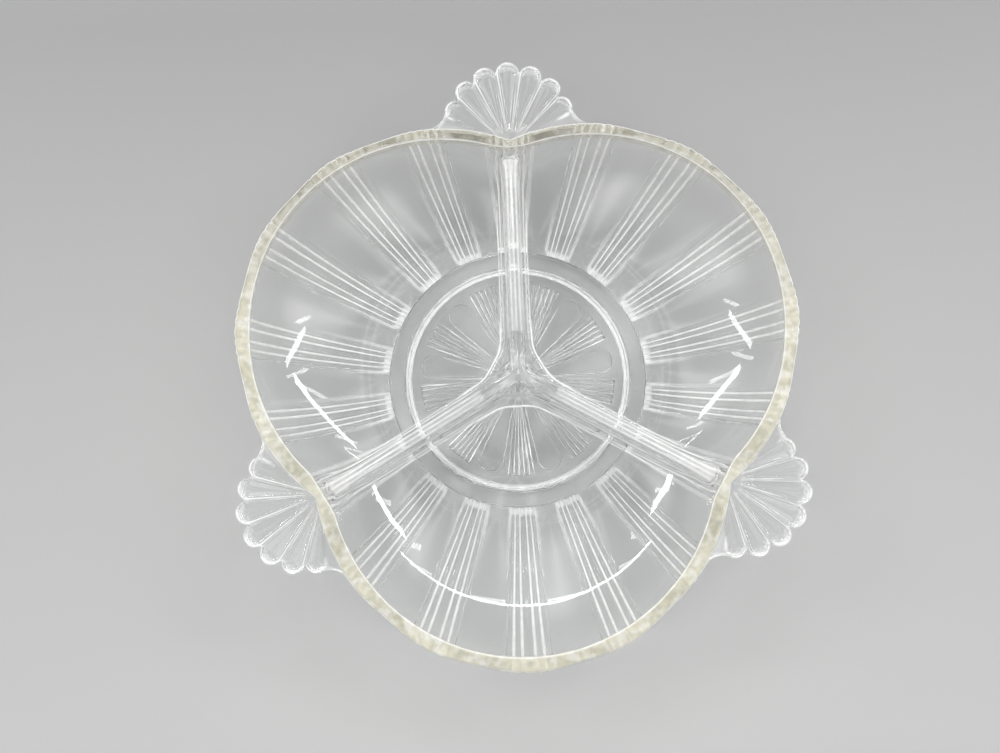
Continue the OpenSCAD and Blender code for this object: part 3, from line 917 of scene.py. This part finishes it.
def rim_inside(inner, middle, off, turn):
    """Rows up the rim's inner side, round its top edge by a quarter circle, and to the middle
    of its flat top."""
    bend = np.linspace(0, np.pi / 2, BEND_ROWS)
    side = np.linspace(RIM_Z + SIDE_FROM, TOP_Z - RIM_ROUND, SIDE_ROWS)[:-1]
    rise = np.concatenate([[RIM_Z], side, TOP_Z - RIM_ROUND + RIM_ROUND * np.sin(bend)])
    inset = np.concatenate([np.zeros(SIDE_ROWS), RIM_ROUND * (1 - np.cos(bend))])
    swell = smooth_step(RIM_Z, TOP_Z - RIM_ROUND, rise)[:, None] * lip(off, turn)
    r = np.concatenate([inner + inset[:, None] - swell, middle[None]])
    return polar(r, off, np.append(rise, TOP_Z)[:, None])


def rim_outside(outer, middle):
    """Rows from the middle of the flat top, round the outer edge by a quarter circle, and
    down to the wall by way of the handle's underside. Returns them and their normals."""
    bend = np.linspace(0, np.pi / 2, BEND_ROWS)
    inset = RIM_ROUND * (1 - np.sin(bend))
    fall = TOP_Z - RIM_ROUND + RIM_ROUND * np.cos(bend)
    r = np.concatenate([middle[None], outer - inset[:, None], outer[None]])
    p = polar(r, outer_off, np.concatenate([[TOP_Z], fall, [ROOT_LOW]])[:, None])
    n = mirrored(p)
    return np.concatenate([p, wall_low[-1:]]), np.concatenate([n, n[-1:]])


def rim_sector(turn):
    """One lobe's rim, for the place where that turn puts it: two surfaces, joined along the
    flat top and closed below and at both ends."""
    part = Piece()
    off_in = wall_off[-1]
    inner, outer = inner_edge(off_in), outer_line(outer_off)
    middle_in = (inner + np.interp(off_in, outer_off, outer)) / 2 - HALF_SEAM
    middle_out = (np.interp(outer_off, off_in, inner) + outer) / 2 + HALF_SEAM
    up = rim_inside(inner, middle_in, off_in, turn)
    row = np.arange(len(up))[:, None]
    # Painted glow, less on the inner side face, and a painted glint along the top edge.
    glow = (1 - SIDE_CLEAR * (1 - smooth_step(*GLOWS_IN, row))) * glow_share(off_in, turn)
    edge = EDGE_GLINT * (row == SIDE_ROWS + BEND_ROWS // 2)
    a = part.grid(up, normals=mirrored(up), painted_glint=edge, painted_glow=glow)
    down, n = rim_outside(outer, middle_out)
    row = np.arange(len(down))[:, None]
    # Painted glow, less on the outer side face, and a painted glint along the top edge.
    glow = (1 - SIDE_CLEAR * smooth_step(*GLOWS_OUT, row)) * glow_share(outer_off, turn)
    edge = EDGE_GLINT * (row == 1 + BEND_ROWS // 2)
    kinds = np.full((len(down) - 1, len(outer_off) - 1), GLASS)
    kinds[-2, np.abs((outer_off[1:] + outer_off[:-1]) / 2) > HANDLE_OFF] = JOINT
    b = part.grid(down, kind=kinds, normals=n, painted_glint=edge, painted_glow=glow)
    part.zip(a[-1], off_in, b[0], outer_off, kind=GLASS, normal=UP)
    part.zip(a[0], off_in, b[-1], outer_off, flip=True)
    part.close_ends(a, b[::-1])
    return part


# %% [markdown]
# ## Handles
#
# A handle is a fan of seven petals. Each is a teardrop: a wedge from the fan's point with a
# round end that touches the wedge's sides. They could be seven meshes joined with Booleans,
# but seen from the fan's point the outline is simply the farthest such circle, and a hollow
# curve leads back to the rim. The top of each petal is a shallow scoop that starts at nothing
# near the root, so ridges grow between the petals, broader where the petal is.

# %% Outline of a handle
LAP = 0.15
PETAL_COLUMNS, WEB_COLUMNS = 31, 20
SAME_TURN = 1e-4


def ray_out(phi, middle, radius, far=True):
    """Distance from the fan's point, along an angle, to a circle's far or near side."""
    dx, dy = middle[0] - FAN_X, middle[1]
    along = dx * np.cos(phi) + dy * np.sin(phi)
    inside = radius**2 - (dx * np.sin(phi) - dy * np.cos(phi))**2
    root = np.sqrt(np.maximum(inside, 0))
    return np.where(inside >= 0, along + root if far else along - root, 0)


def fan_angles():
    """Columns that crowd at the notches between petals, then run evenly to the rim."""
    bend = PITCH / 2 * np.sin(np.pi / 2 * np.linspace(-1, 1, PETAL_COLUMNS))
    petals = (np.arange(-LAST_PETAL, LAST_PETAL + 1)[:, None] * PITCH + bend).ravel()
    on_petal = math.atan2(web_on_petal[1], web_on_petal[0] - FAN_X)
    on_lobe = math.atan2(web_on_lobe[1], web_on_lobe[0] - FAN_X)
    keep = petals[np.abs(petals) < on_petal - SAME_TURN]
    web = on_petal + (on_lobe - on_petal) * np.sin(np.pi / 2 * np.linspace(0, 1, WEB_COLUMNS))
    return np.unique(np.round(np.concatenate([-web, keep, web]), ANGLE_DIGITS)), on_petal


def fan_reach(phi, on_petal):
    """Distances from the fan's point to the rim and to the fan's outline, along each angle."""
    root = ray_out(np.abs(phi), lobe_place, LOBE_R)
    petals = [ray_out(phi, petal_place(k), petal_round(k) + LAP)
              for k in range(-LAST_PETAL, LAST_PETAL + 1)]
    web = ray_out(np.abs(phi), web_middle, WEB_R, far=False)
    return root, np.maximum(np.where(np.abs(phi) < on_petal, np.max(petals, axis=0), web), root)


# %% Make the handles
SCOOP, SCOOP_START, SCOOP_FULL, SCOOP_TIP = 1.2, 4.0, 10.0, 0.06
RIDGE_LEAST, RIDGE_SHARE, DROP_WIDTH, LEAST_HALF = 0.08, 0.13, 0.8, 0.3
EDGE_ROUND, EDGE_SHARE, LOW_SHARE = 0.55, 0.4, 0.5
FAN_ROWS, ROUND_ROWS, BACK_ROWS = 64, 8, 12
HANDLE_SLOPE = (TIP_Z - ROOT_TOP) / (TIP_R - CUSP_R)


def inside_petal(d, phi):
    """Distance in from the edge of the petal that an angle belongs to, and the distance that
    its middle line has there. Near the round end the circle counts, elsewhere the sides."""
    k = np.clip(np.round(phi / PITCH), -LAST_PETAL, LAST_PETAL)
    half, turn = PITCH / 2, phi - k * PITCH
    x, y = d * np.cos(turn) - petal_mid(k), d * np.sin(turn)
    from_mid = np.hypot(x, y)
    by_side = d * np.sin(half - np.abs(turn))
    by_end = petal_round(k) - from_mid
    middle = np.minimum(d * math.sin(half), petal_round(k))
    return np.where(x > -from_mid * math.sin(half), by_end, by_side), middle


def scoop(d, phi, share):
    """Depth of the scoops: the mean of a parabola over the whole petal and a quarter circle
    just inside the ridge. It grows with the way from the root and ends before the tip."""
    inside, middle = inside_petal(d, phi)
    inside = inside - RIDGE_LEAST - RIDGE_SHARE * middle
    deep = np.clip(inside / np.maximum((1 - RIDGE_SHARE) * middle - RIDGE_LEAST, LEAST_HALF), 0, 1)
    drop = np.clip(inside / DROP_WIDTH, 0, 1)
    bowl = 1 - (1 - deep)**2
    step = np.sqrt(1 - (1 - drop)**2) * np.minimum(middle, 1)
    grow = smooth_step(SCOOP_START, SCOOP_FULL, d) * smooth_step(0, SCOOP_TIP, 1 - share)
    return SCOOP * grow * (bowl + step) / 2


def handle_sector():
    """Rows from the rim out over the scooped top, round the outline by two arcs, and back
    along the flat underside. The band between the last row and the first is inner faces."""
    part = Piece()
    phi, on_petal = fan_angles()
    root, out = fan_reach(phi, on_petal)
    edge = np.minimum(EDGE_ROUND, EDGE_SHARE * (out - root))
    share = np.linspace(0, 1, FAN_ROWS)[:, None]
    top_d = root + (out - edge - root) * share
    top_z = ROOT_TOP + HANDLE_SLOPE * (top_d - root) - scoop(top_d, phi, share)
    bend = np.linspace(0, np.pi / 2, ROUND_ROWS)[:, None]
    over, under = 1 - np.sin(bend), 1 - np.cos(bend)
    arc_d = out - edge * over[1:]
    arc_z = top_z[-1] - edge * under[1:]
    low_z = np.minimum(ROOT_TOP + HANDLE_SLOPE * (out - root) - HANDLE_T, top_z[-1] - edge)
    low_arc_d = out - LOW_SHARE * edge * under
    low_arc_z = low_z + LOW_SHARE * edge * over
    back = np.linspace(1, 0, BACK_ROWS)[1:, None]
    back_d = root + (low_arc_d[-1] - root) * back
    back_z = ROOT_LOW + (low_z - ROOT_LOW) * back
    d = np.concatenate([top_d, arc_d, low_arc_d, back_d])
    z = np.concatenate([top_z, arc_z, low_arc_z, back_z])
    p = np.stack([FAN_X + d * np.cos(phi), d * np.sin(phi), z], axis=-1)
    part.grid(p)
    part.grid(np.stack([p[-1], p[0]]), JOINT)
    return part


# %% [markdown]
# ## Foot ring
#
# The tray stands on a plain ring, with a fine bead inside it that shows through the floor as a
# bright circle, with a painted highlight along the bead's crest. Its outline could be spun with
# the Spin tool. Here the outline is an array, and all its turns are computed at once, which
# closes the seam exactly.

# %% Make the foot ring
FOOT_ROUND = 0.8
CORNER_POINTS, BEAD_POINTS, RING_STEPS = 8, 15, 360
BEAD_GLINT = 0.3


def foot_profile():
    """The foot ring's outline as distance and height: a half circle for the bead, then down
    the inside and up the outside, with quarter circles at both lower edges."""
    bend = np.linspace(0, np.pi / 2, CORNER_POINTS)
    far, near = FOOT_ROUND * (1 - np.cos(bend)), FOOT_ROUND * (1 - np.sin(bend))
    outer, inner = np.stack([FOOT_R - far, near]), np.stack([ring_in + near, far])
    round_bead = np.linspace(0, np.pi, BEAD_POINTS)
    bead = np.stack([bead_mid - 0.5 * BEAD * np.cos(round_bead), FOOT_H - BEAD_DEEP * np.sin(round_bead)])
    inner_end, outer_end = [[ring_in], [FOOT_H]], [[FOOT_R], [FOOT_H]]
    return np.concatenate([bead, inner_end, inner[:, ::-1], outer[:, ::-1], outer_end], axis=1).T


def foot_piece():
    """The outline turned about the hub. The crest of its bead carries a painted highlight."""
    part = Piece()
    line = foot_profile()
    p = polar(line[:, :1], np.linspace(0, 2 * np.pi, RING_STEPS + 1), line[:, 1:])
    # A painted highlight along the bead's crest.
    on_bead = np.abs(line[:, 0] - bead_mid) < BEAD_GLINT * BEAD
    part.grid(p, flip=True, wrap=True, painted_glint=on_bead[:, None])
    part.grid(np.stack([p[0], p[-1]]), JOINT)
    return part


# %% [markdown]
# ## Sunburst
#
# Under the floor, inside the ring, a sunburst shows up through the glass: nine domed petals
# with five rounded rays between each pair. Each could be a shape of its own, joined to a disc.
# One height formula does the same, because where a petal and a ray overlap the larger height
# wins. Their height shrinks with their width towards the middle.

# %% Height of the sunburst
SUN_PETALS, SUN_RAYS = 9, 5
SUN_SECTOR = 2 * math.pi / SUN_PETALS
PETAL_HALF, RAY_PITCH = math.radians(8.5), math.radians(3.2)
SUN_BACK, SUN_MARGIN = 0.4, 0.8
SUN_DEEP = FOOT_H - SUN_BACK - SUN_LOW_Z
SUN_END = SUN_R - SUN_MARGIN
DOME_ROUND, PETAL_STEEP = 1.3, 0.9
RAY_TAIL, RAY_STEEP = 0.9, 0.5
SUN_STARTS = (3, 7)


def sun_height(r, angle):
    """Relief of the sunburst at a distance from its middle and an angle. A petal is a wedge
    with a round end, and rises from its edge by a quarter circle. A ray is a half circle
    across, with a quarter circle for its tail."""
    turn = angle - math.pi / 2
    turn = turn - SUN_SECTOR * np.round(turn / SUN_SECTOR)
    end = SUN_END * math.sin(PETAL_HALF) / (1 + math.sin(PETAL_HALF))
    x, y = r * np.cos(turn) - end / math.sin(PETAL_HALF), r * np.sin(turn)
    from_mid = np.hypot(x, y)
    inside = np.where(x > -from_mid * math.sin(PETAL_HALF), end - from_mid,
                      r * np.sin(PETAL_HALF - np.abs(turn)))
    dome = np.sqrt(1 - (1 - np.clip(inside / DOME_ROUND, 0, 1))**2)
    petal = np.minimum(SUN_DEEP, PETAL_STEEP * r * math.sin(PETAL_HALF)) * dome
    between = SUN_SECTOR / 2 - np.abs(turn)
    ray = np.abs(between / RAY_PITCH - np.round(between / RAY_PITCH)) * 2
    tail = np.sqrt(1 - np.clip((r - SUN_END + RAY_TAIL) / RAY_TAIL, 0, 1)**2)
    rays = np.minimum(SUN_DEEP, RAY_STEEP * r * RAY_PITCH) * np.sqrt(np.clip(1 - ray**2, 0, 1)) * tail
    rays = rays * (between < RAY_PITCH * SUN_RAYS / 2)
    return np.maximum(petal, rays) * smooth_step(*SUN_STARTS, r)


# %% Make the sunburst
RAY_COLUMNS, DOME_COLUMNS, RAY_DIGITS = 11, 37, 9
FINE_FROM, COARSE_ROWS, FINE_ROWS = 29, 40, 28


def sun_columns():
    """Angles that catch the edges and crests of every ray, and are even over each petal."""
    rays = RAY_PITCH * (np.arange(SUN_RAYS)[:, None] + np.linspace(0, 1, RAY_COLUMNS)).ravel()
    rays = np.unique(np.round(rays, RAY_DIGITS)) - RAY_PITCH * SUN_RAYS / 2
    petal = rays[-1] + (SUN_SECTOR - RAY_PITCH * SUN_RAYS) * np.linspace(0, 1, DOME_COLUMNS)[1:]
    one = np.concatenate([rays, petal])[:-1] - rays[0]
    around = (np.arange(SUN_PETALS)[:, None] * SUN_SECTOR + one).ravel()
    return np.append(around, 2 * math.pi) + math.pi / 2 + SUN_SECTOR / 2 + rays[0]


def sun_piece():
    """The relief hangs under a plane just below the floor's underside. A short band around
    its edge and a flat lid of inner faces close it."""
    part = Piece()
    rows = np.concatenate([np.linspace(0, FINE_FROM, COARSE_ROWS),
                           np.linspace(FINE_FROM, SUN_R, FINE_ROWS)[1:]])
    r, angle = np.meshgrid(rows, sun_columns(), indexing="ij")
    p = polar(r, angle, FOOT_H - SUN_BACK - sun_height(r, angle))
    n = grid_normals(p, True)
    n[0] = UP
    part.grid(p, flip=True, normals=n)
    high = p[-1].copy()
    high[:, 2] = FOOT_H
    part.grid(np.stack([p[-1], high]), flip=True)
    part.grid(np.stack([np.broadcast_to([0, 0, FOOT_H], high.shape), high]), JOINT)
    return part


# %% [markdown]
# ## Finishes
#
# A finish is a graph of nodes. It could be linked by hand, node by node, but that hides the
# sums behind it. One small class wraps a shader socket, so that a finish reads like a formula,
# and one method adds any other node.

# %% Shader words
class Net:
    """The nodes of a material or a world. One method adds any node and links what it gets."""

    def __init__(self, owner):
        self.owner = owner
        owner.use_nodes = True
        self.tree = owner.node_tree
        self.tree.nodes.clear()

    def add(self, kind, output=0, inputs=None, **settings):
        """A node with its settings, then a number, colour or link for each input that is
        named or counted. Returns one of its outputs."""
        node = self.tree.nodes.new(kind)
        for key, value in settings.items():
            setattr(node, key, value)
        for key, value in (inputs or {}).items():
            self.feed(node.inputs[key], value)
        return Socket(self, node.outputs[output])

    def feed(self, socket, value):
        """Links an input to a socket, or sets it to a value."""
        if isinstance(value, Socket):
            self.tree.links.new(value.socket, socket)
        else:
            socket.default_value = value

    def math(self, operation, *values):
        """A sum on one or two numbers or sockets."""
        return self.add("ShaderNodeMath", inputs=dict(enumerate(values)), operation=operation)

    def finish(self, surface, kind="ShaderNodeOutputMaterial"):
        """Links the last shader to the output and returns the material or world."""
        self.feed(self.tree.nodes.new(kind).inputs["Surface"], surface)
        return self.owner


class Socket:
    """An output that can be added, subtracted and multiplied with others and with numbers."""

    def __init__(self, net, socket):
        self.net, self.socket = net, socket

    def __add__(self, other):
        return self.net.math("ADD", self, other)

    def __sub__(self, other):
        return self.net.math("SUBTRACT", self, other)

    def __rsub__(self, other):
        return self.net.math("SUBTRACT", other, self)

    def __mul__(self, other):
        return self.net.math("MULTIPLY", self, other)

    __radd__, __rmul__ = __add__, __mul__

    def ramp(self, low, high, at_low=0.0, at_high=1.0):
        """One value up to low, another from high on, and an even change between them."""
        inputs = {0: self, 1: low, 2: high, 3: at_low, 4: at_high}
        return self.net.add("ShaderNodeMapRange", inputs=inputs)


# %% [markdown]
# ## Glass
#
# The tray's glass is clear, and its thick rim is faintly cream. A Principled shader with full
# transmission gives both. Three things make it look like old pressed glass and not new
# crystal. Its faces keep faint waves from the mould, a bump of soft noise. Its crisp edges get
# painted glints: a thin white diffuse is mixed in where the mesh is marked for them. And where
# it is marked for painted glow, a diffuse of the glow colour is mixed in, in patches, which
# stands in for light carried through thick glass, with a few whiter flecks as painted glints.
#
# Lamps would leave a dark shadow under refracting glass, because Cycles doesn't bend their
# light through it. So a shadow ray meets a tinted transparent surface instead.

# %% Strengths, and sizes as cells per metre
WAVES, RIPPLES, CRUMPLES = 45.0, 420.0, 260.0
WAVE_SHARE, RIPPLE_SHARE = 0.8, 0.02
# Painted glints are broken up by speckles. The painted glow comes in patches, with flecks of painted glint.
SPECKLES, PATCHES, GLINT_FLECKS = 400.0, 320.0, 300.0
SPECKLE_SPAN, PATCH_SPAN, GLINT_FLECK_SPAN = (0.4, 0.6), (0.35, 0.65), (0.48, 0.66)
# Painted glints: the share of white that marked edges take.
GLINT_LOW, GLINT_HIGH = 0.88, 1.0
# Painted glow: the share of glow colour that marked glass takes.
GLOW_LOW, GLOW_HIGH = 0.58, 0.76
GLINT_FLECK_HIGH = 0.35
HAZE = 0.04
GLINT_WHITE = (0.97, 0.97, 0.97, 1)
GLASS_IOR = 1.5


# %% Glass and inner faces
def noise(net, place, scale, detail=2.0):
    """Soft noise between 0 and 1, with a number of cells per metre."""
    return net.add("ShaderNodeTexNoise", "Fac", {"Vector": place, "Scale": scale, "Detail": detail})


def glass(name, tint, shade, glow_colour, dents, crumple=0.0):
    """Clear glass with faint waves, with painted glints where it is marked for them and a painted
    glow where it is marked for that. Haze is the little cloudiness that it has everywhere, and
    crumple adds small dents."""
    net = Net(bpy.data.materials.new(name))
    place = net.add("ShaderNodeTexCoord", "Object")
    waves = noise(net, place, WAVES) * WAVE_SHARE + noise(net, place, RIPPLES) * RIPPLE_SHARE
    if crumple:
        waves = waves + noise(net, place, CRUMPLES, 1.0) * crumple
    bump = net.add("ShaderNodeBump", inputs={"Height": waves, "Strength": 1.0, "Distance": dents})
    body = net.add("ShaderNodeBsdfPrincipled", inputs={
        "Base Color": tint, "Roughness": 0.0, "IOR": GLASS_IOR, "Transmission Weight": 1.0, "Normal": bump})
    # The glow diffuse gives the even haze and the painted glow.
    glow = net.add("ShaderNodeBsdfDiffuse", inputs={"Color": glow_colour, "Normal": bump})
    # White diffuse for the painted glints and flecks.
    glint = net.add("ShaderNodeBsdfDiffuse", inputs={"Color": GLINT_WHITE, "Normal": bump})
    painted_glint, painted_glow = (net.add("ShaderNodeAttribute", "Fac", attribute_name=mark) for mark in MARKS)
    speckle = noise(net, place, SPECKLES).ramp(*SPECKLE_SPAN, GLINT_LOW, GLINT_HIGH)
    patch = noise(net, place, PATCHES, 1.0).ramp(*PATCH_SPAN, GLOW_LOW, GLOW_HIGH)
    # Whiter flecks of painted glint within the painted glow.
    glint_flecks = noise(net, place, GLINT_FLECKS).ramp(*GLINT_FLECK_SPAN, 0.0, GLINT_FLECK_HIGH)
    glowing = net.add("ShaderNodeMixShader", inputs={0: painted_glow * patch + HAZE, 1: body, 2: glow})
    with_glints = net.add("ShaderNodeMixShader", inputs={0: painted_glint * speckle + painted_glow * glint_flecks, 1: glowing, 2: glint})
    clear = net.add("ShaderNodeBsdfTransparent", inputs={"Color": shade})
    lamp_ray = net.add("ShaderNodeLightPath", "Is Shadow Ray")
    return net.finish(net.add("ShaderNodeMixShader", inputs={0: lamp_ray, 1: with_glints, 2: clear}))


def inner_face():
    """Fully transparent: a joint inside one body of glass, which light doesn't notice."""
    net = Net(bpy.data.materials.new("joint"))
    return net.finish(net.add("ShaderNodeBsdfTransparent", inputs={"Color": (1, 1, 1, 1)}))


clear_glass = glass("clear_glass", tint=(0.97, 0.98, 0.978, 1), shade=(0.5, 0.51, 0.51, 1),
                    glow_colour=(0.96, 0.96, 0.96, 1), dents=0.00012)
# The rim's glow colour is the cream of its painted glow.
rim_glass = glass("rim_glass", tint=(0.95, 0.93, 0.82, 1), shade=(0.9, 0.89, 0.85, 1),
                  glow_colour=(0.74, 0.715, 0.57, 1), dents=0.0009, crumple=0.55)
joint = inner_face()
CLEAR, RIM = [clear_glass, joint], [rim_glass, joint]
print("finishes:", clear_glass.name, rim_glass.name, joint.name)

# %% [markdown]
# ## Put the tray together
#
# The three lobes are alike, so one of each piece is made and turned to its place. Only the
# rims differ, because their painted glow fades towards the back, as painted shade. Where a
# pattern is fine, as in the sunburst, only much sharper edges count as crisp, so that its
# painted glints don't turn it white all over.

# %% Build the floor, the hub and the base
floor, middle = floor_sector(), hub_sector()
joined([floor.turned(a) for a in TURNS]).build("Floor_plate", "clear_glass", CLEAR, "floor_plate")
joined([middle.turned(a) for a in TURNS]).build("Hub", "clear_glass", CLEAR, "hub")
foot_piece().build("Foot_ring", "clear_glass", CLEAR, "foot_ring", crisp=2.0, spread=0)
sun_piece().build("Sunburst", "clear_glass", CLEAR, "sunburst", crisp=3.0, spread=0)

# %% Build the walls, rims, dividers and handles
wall, fan = wall_sector(), handle_sector()
for k, turn in enumerate(TURNS):
    lobe, arm = LOBES[k], ARM_NAMES[k]
    wall.turned(turn).build(f"Wall_{lobe}", "clear_glass", CLEAR, f"wall_{lobe}", spread=0.85)
    rim_sector(turn).turned(turn).build(f"Rim_{lobe}", "rim_glass", RIM, f"rim_{lobe}")
    whole_divider(k).build(f"Divider_{arm}", "clear_glass", CLEAR, f"divider_{arm}")
    fan.turned(turn + SECTOR).build(f"Handle_{arm}", "clear_glass", CLEAR, f"handle_{arm}", spread=0.5)

# %% [markdown]
# ## Table
#
# The tray lies on a pale plain table, which is a little lighter towards the viewer: painted
# shade, standing in for the light falling off towards the far side. A photo could be laid on
# it, but a grey that runs along it is enough. It lies half a millimetre under the foot,
# because glass that touches a face exactly can show dark specks.

# %% Make the table
TABLE_HALF, TABLE_Z = 1.2, -0.0005
TABLE_NEAR, TABLE_SHADE_FALL, TABLE_SPAN = 0.566, 0.225, (-0.13, 0.13)


def table_finish():
    """A pale grey with painted shade, from a darker far side to a lighter near side, as light falls off."""
    net = Net(bpy.data.materials.new("table"))
    place = net.add("ShaderNodeTexCoord", "Object")
    far = net.add("ShaderNodeSeparateXYZ", "Y", {0: place}).ramp(*TABLE_SPAN)
    # Painted shade: the grey falls towards the far side, as the light does.
    grey = TABLE_NEAR - TABLE_SHADE_FALL * far
    tone = net.add("ShaderNodeCombineColor", inputs={0: grey, 1: grey, 2: grey})
    return net.finish(net.add("ShaderNodeBsdfDiffuse", inputs={"Color": tone}))


corners = [(x * TABLE_HALF, y * TABLE_HALF, TABLE_Z) for x, y in ((-1, -1), (1, -1), (1, 1), (-1, 1))]
table_mesh = bpy.data.meshes.new("Table")
table_mesh.from_pydata(corners, [], [(0, 1, 2, 3)])
table_mesh.materials.append(table_finish())
table = bpy.data.objects.new("Table", table_mesh)
bpy.context.scene.collection.objects.link(table)
print(f"table {2 * TABLE_HALF} m wide")

# %% [markdown]
# ## Room
#
# Clear glass is seen by what it reflects and bends. Under an even sky it would vanish. A
# picture of a room could be used, but a formula is plainer: light from overhead, a little less
# from straight above, and brighter and darker by turns around the compass, as from windows.
# The edges of the glass then pick up both bright and dark. The camera sees a plain grey
# backdrop instead of the room.

# %% Light the room
ROOM_LOW, ROOM_HIGH, ROOM_RISES = 0.12, 1.0, (0.35, 0.6)
ROOM_TOP, ROOM_DIMS = 0.6, (0.94, 0.985)
WINDOWS, WINDOW_TURN, WINDOW_PEAK, ROOM_EVEN = 7.0, 0.6, 3.2, 0.25
BACKDROP = (0.42, 0.42, 0.42, 1)


def room_light():
    """Light by direction: a ramp of its height, times a second ramp near the zenith, times an
    even share plus the cube of half of one plus a cosine of the turn."""
    net = Net(bpy.data.worlds.new("Soft room"))
    place = net.add("ShaderNodeTexCoord", "Generated")
    x, y, z = (net.add("ShaderNodeSeparateXYZ", axis, {0: place}) for axis in "XYZ")
    overhead = z.ramp(*ROOM_RISES, ROOM_LOW, ROOM_HIGH) * z.ramp(*ROOM_DIMS, 1.0, ROOM_TOP)
    turn = net.math("ARCTAN2", y, x) * WINDOWS + WINDOW_TURN
    swing = 0.5 + 0.5 * net.math("COSINE", turn)
    light = overhead * (ROOM_EVEN + (1 - ROOM_EVEN) * WINDOW_PEAK * (swing * swing * swing))
    tone = net.add("ShaderNodeCombineColor", inputs={0: light, 1: light, 2: light})
    room = net.add("ShaderNodeBackground", inputs={"Color": tone, "Strength": 1.0})
    backdrop = net.add("ShaderNodeBackground", inputs={"Color": BACKDROP, "Strength": 1.0})
    seen = net.add("ShaderNodeLightPath", "Is Camera Ray")
    sky = net.add("ShaderNodeMixShader", inputs={0: seen, 1: room, 2: backdrop})
    return net.finish(sky, "ShaderNodeOutputWorld")


bpy.context.scene.world = room_light()
print("room:", bpy.context.scene.world.name)

# %% [markdown]
# ## Lamps
#
# The bright arcs on the lower walls of the tray are reflections of long thin lights. One big
# soft lamp could light it all, but would lay a broad haze where the photo has thin lines. So
# each arc has its own strip lamp. Each lies along a line and is turned to the tray, and its
# place was found by following the reflection back from the wall.

# %% Place the lamps
def lamp(name, start, end, width, radiance):
    """A flat lamp along a line, turned to the tray. Its power is radiance times pi times area."""
    start, end = np.array(start), np.array(end)
    middle = (start + end) / 2
    x = unit(end - start)
    z = unit(middle - np.dot(middle, x) * x)
    pose = np.eye(4)
    pose[:3, 0], pose[:3, 1], pose[:3, 2], pose[:3, 3] = x, np.cross(z, x), z, middle
    light = bpy.data.lights.new(name, "AREA")
    light.shape = "RECTANGLE"
    light.size, light.size_y = float(np.linalg.norm(end - start)), width
    light.energy = radiance * math.pi * light.size * light.size_y
    lamp_object = bpy.data.objects.new(name, light)
    bpy.context.scene.collection.objects.link(lamp_object)
    lamp_object.matrix_world = Matrix(pose.tolist())
    print(f"{name}: {light.size:.2f} m long, {light.energy:.2f} W")


lamp("Back strip", start=(-0.48, 0.44, 0.42), end=(0.48, 0.44, 0.42), width=0.02, radiance=20.0)
lamp("Right strip", start=(0.44, 0.15, 0.29), end=(0.276, 0.253, 0.427), width=0.035, radiance=16.0)
lamp("Left strip", start=(-0.426, 0.169, 0.304), end=(-0.285, 0.228, 0.434), width=0.035, radiance=16.0)
lamp("Right window", start=(0.463, 0.122, 0.247), end=(0.36, 0.007, 0.427), width=0.02, radiance=12.0)
lamp("Left window", start=(-0.463, 0.122, 0.247), end=(-0.36, 0.007, 0.427), width=0.02, radiance=12.0)

# %% [markdown]
# ## Camera
#
# The camera looks almost straight down. It could be placed by eye, but a few degrees change
# how the dividers lean. So its place and turn were found by matching corners of the outline:
# the viewed axes are the tray's axes turned a few degrees about each.

# %% Place the camera
TIP_BACK, LEAN, SPIN = -5.3, -0.3, 2.11
STAND_OFF = np.array([6.2, -1.0, -354.5])
LENS, SENSOR = 36.0, 36.0


def turn_about(axis, degrees):
    """A rotation matrix about x, y or z: cosine and sine in the plane of the other two."""
    c, s = math.cos(math.radians(degrees)), math.sin(math.radians(degrees))
    m = np.eye(3)
    a, b = [(1, 2), (2, 0), (0, 1)]["xyz".index(axis)]
    m[a, a], m[a, b], m[b, a], m[b, b] = c, -s, s, c
    return m


view = turn_about("x", TIP_BACK) @ turn_about("y", LEAN) @ turn_about("z", SPIN)
pose = np.eye(4)
pose[:3, :3] = view.T
pose[:3, 3] = (-view.T @ STAND_OFF + [0, HUB_Y, 0]) * MM
camera_data = bpy.data.cameras.new("Camera")
camera_data.lens = LENS
camera_data.sensor_width = SENSOR
camera = bpy.data.objects.new("Camera", camera_data)
bpy.context.scene.collection.objects.link(camera)
camera.matrix_world = Matrix(pose.tolist())
bpy.context.scene.camera = camera
print("camera at", np.round(pose[:3, 3], 3))

# %% [markdown]
# ## Light paths
#
# Light in thick glass turns many times, and each inner face on its way counts as a step too.
# With Blender's usual limits the ends of the dividers turn black, where light runs out of
# steps. More lamps would only hide that, so the limits are raised.

# %% Let light go on
paths = bpy.context.scene.cycles
paths.max_bounces = 32
paths.transmission_bounces = 32
paths.transparent_max_bounces = 96

# %% [markdown]
# ## Plain colours
#
# The render shows its colours as they are, with Blender's Standard view.

# %% Show colours plainly
bpy.context.scene.view_settings.view_transform = "Standard"
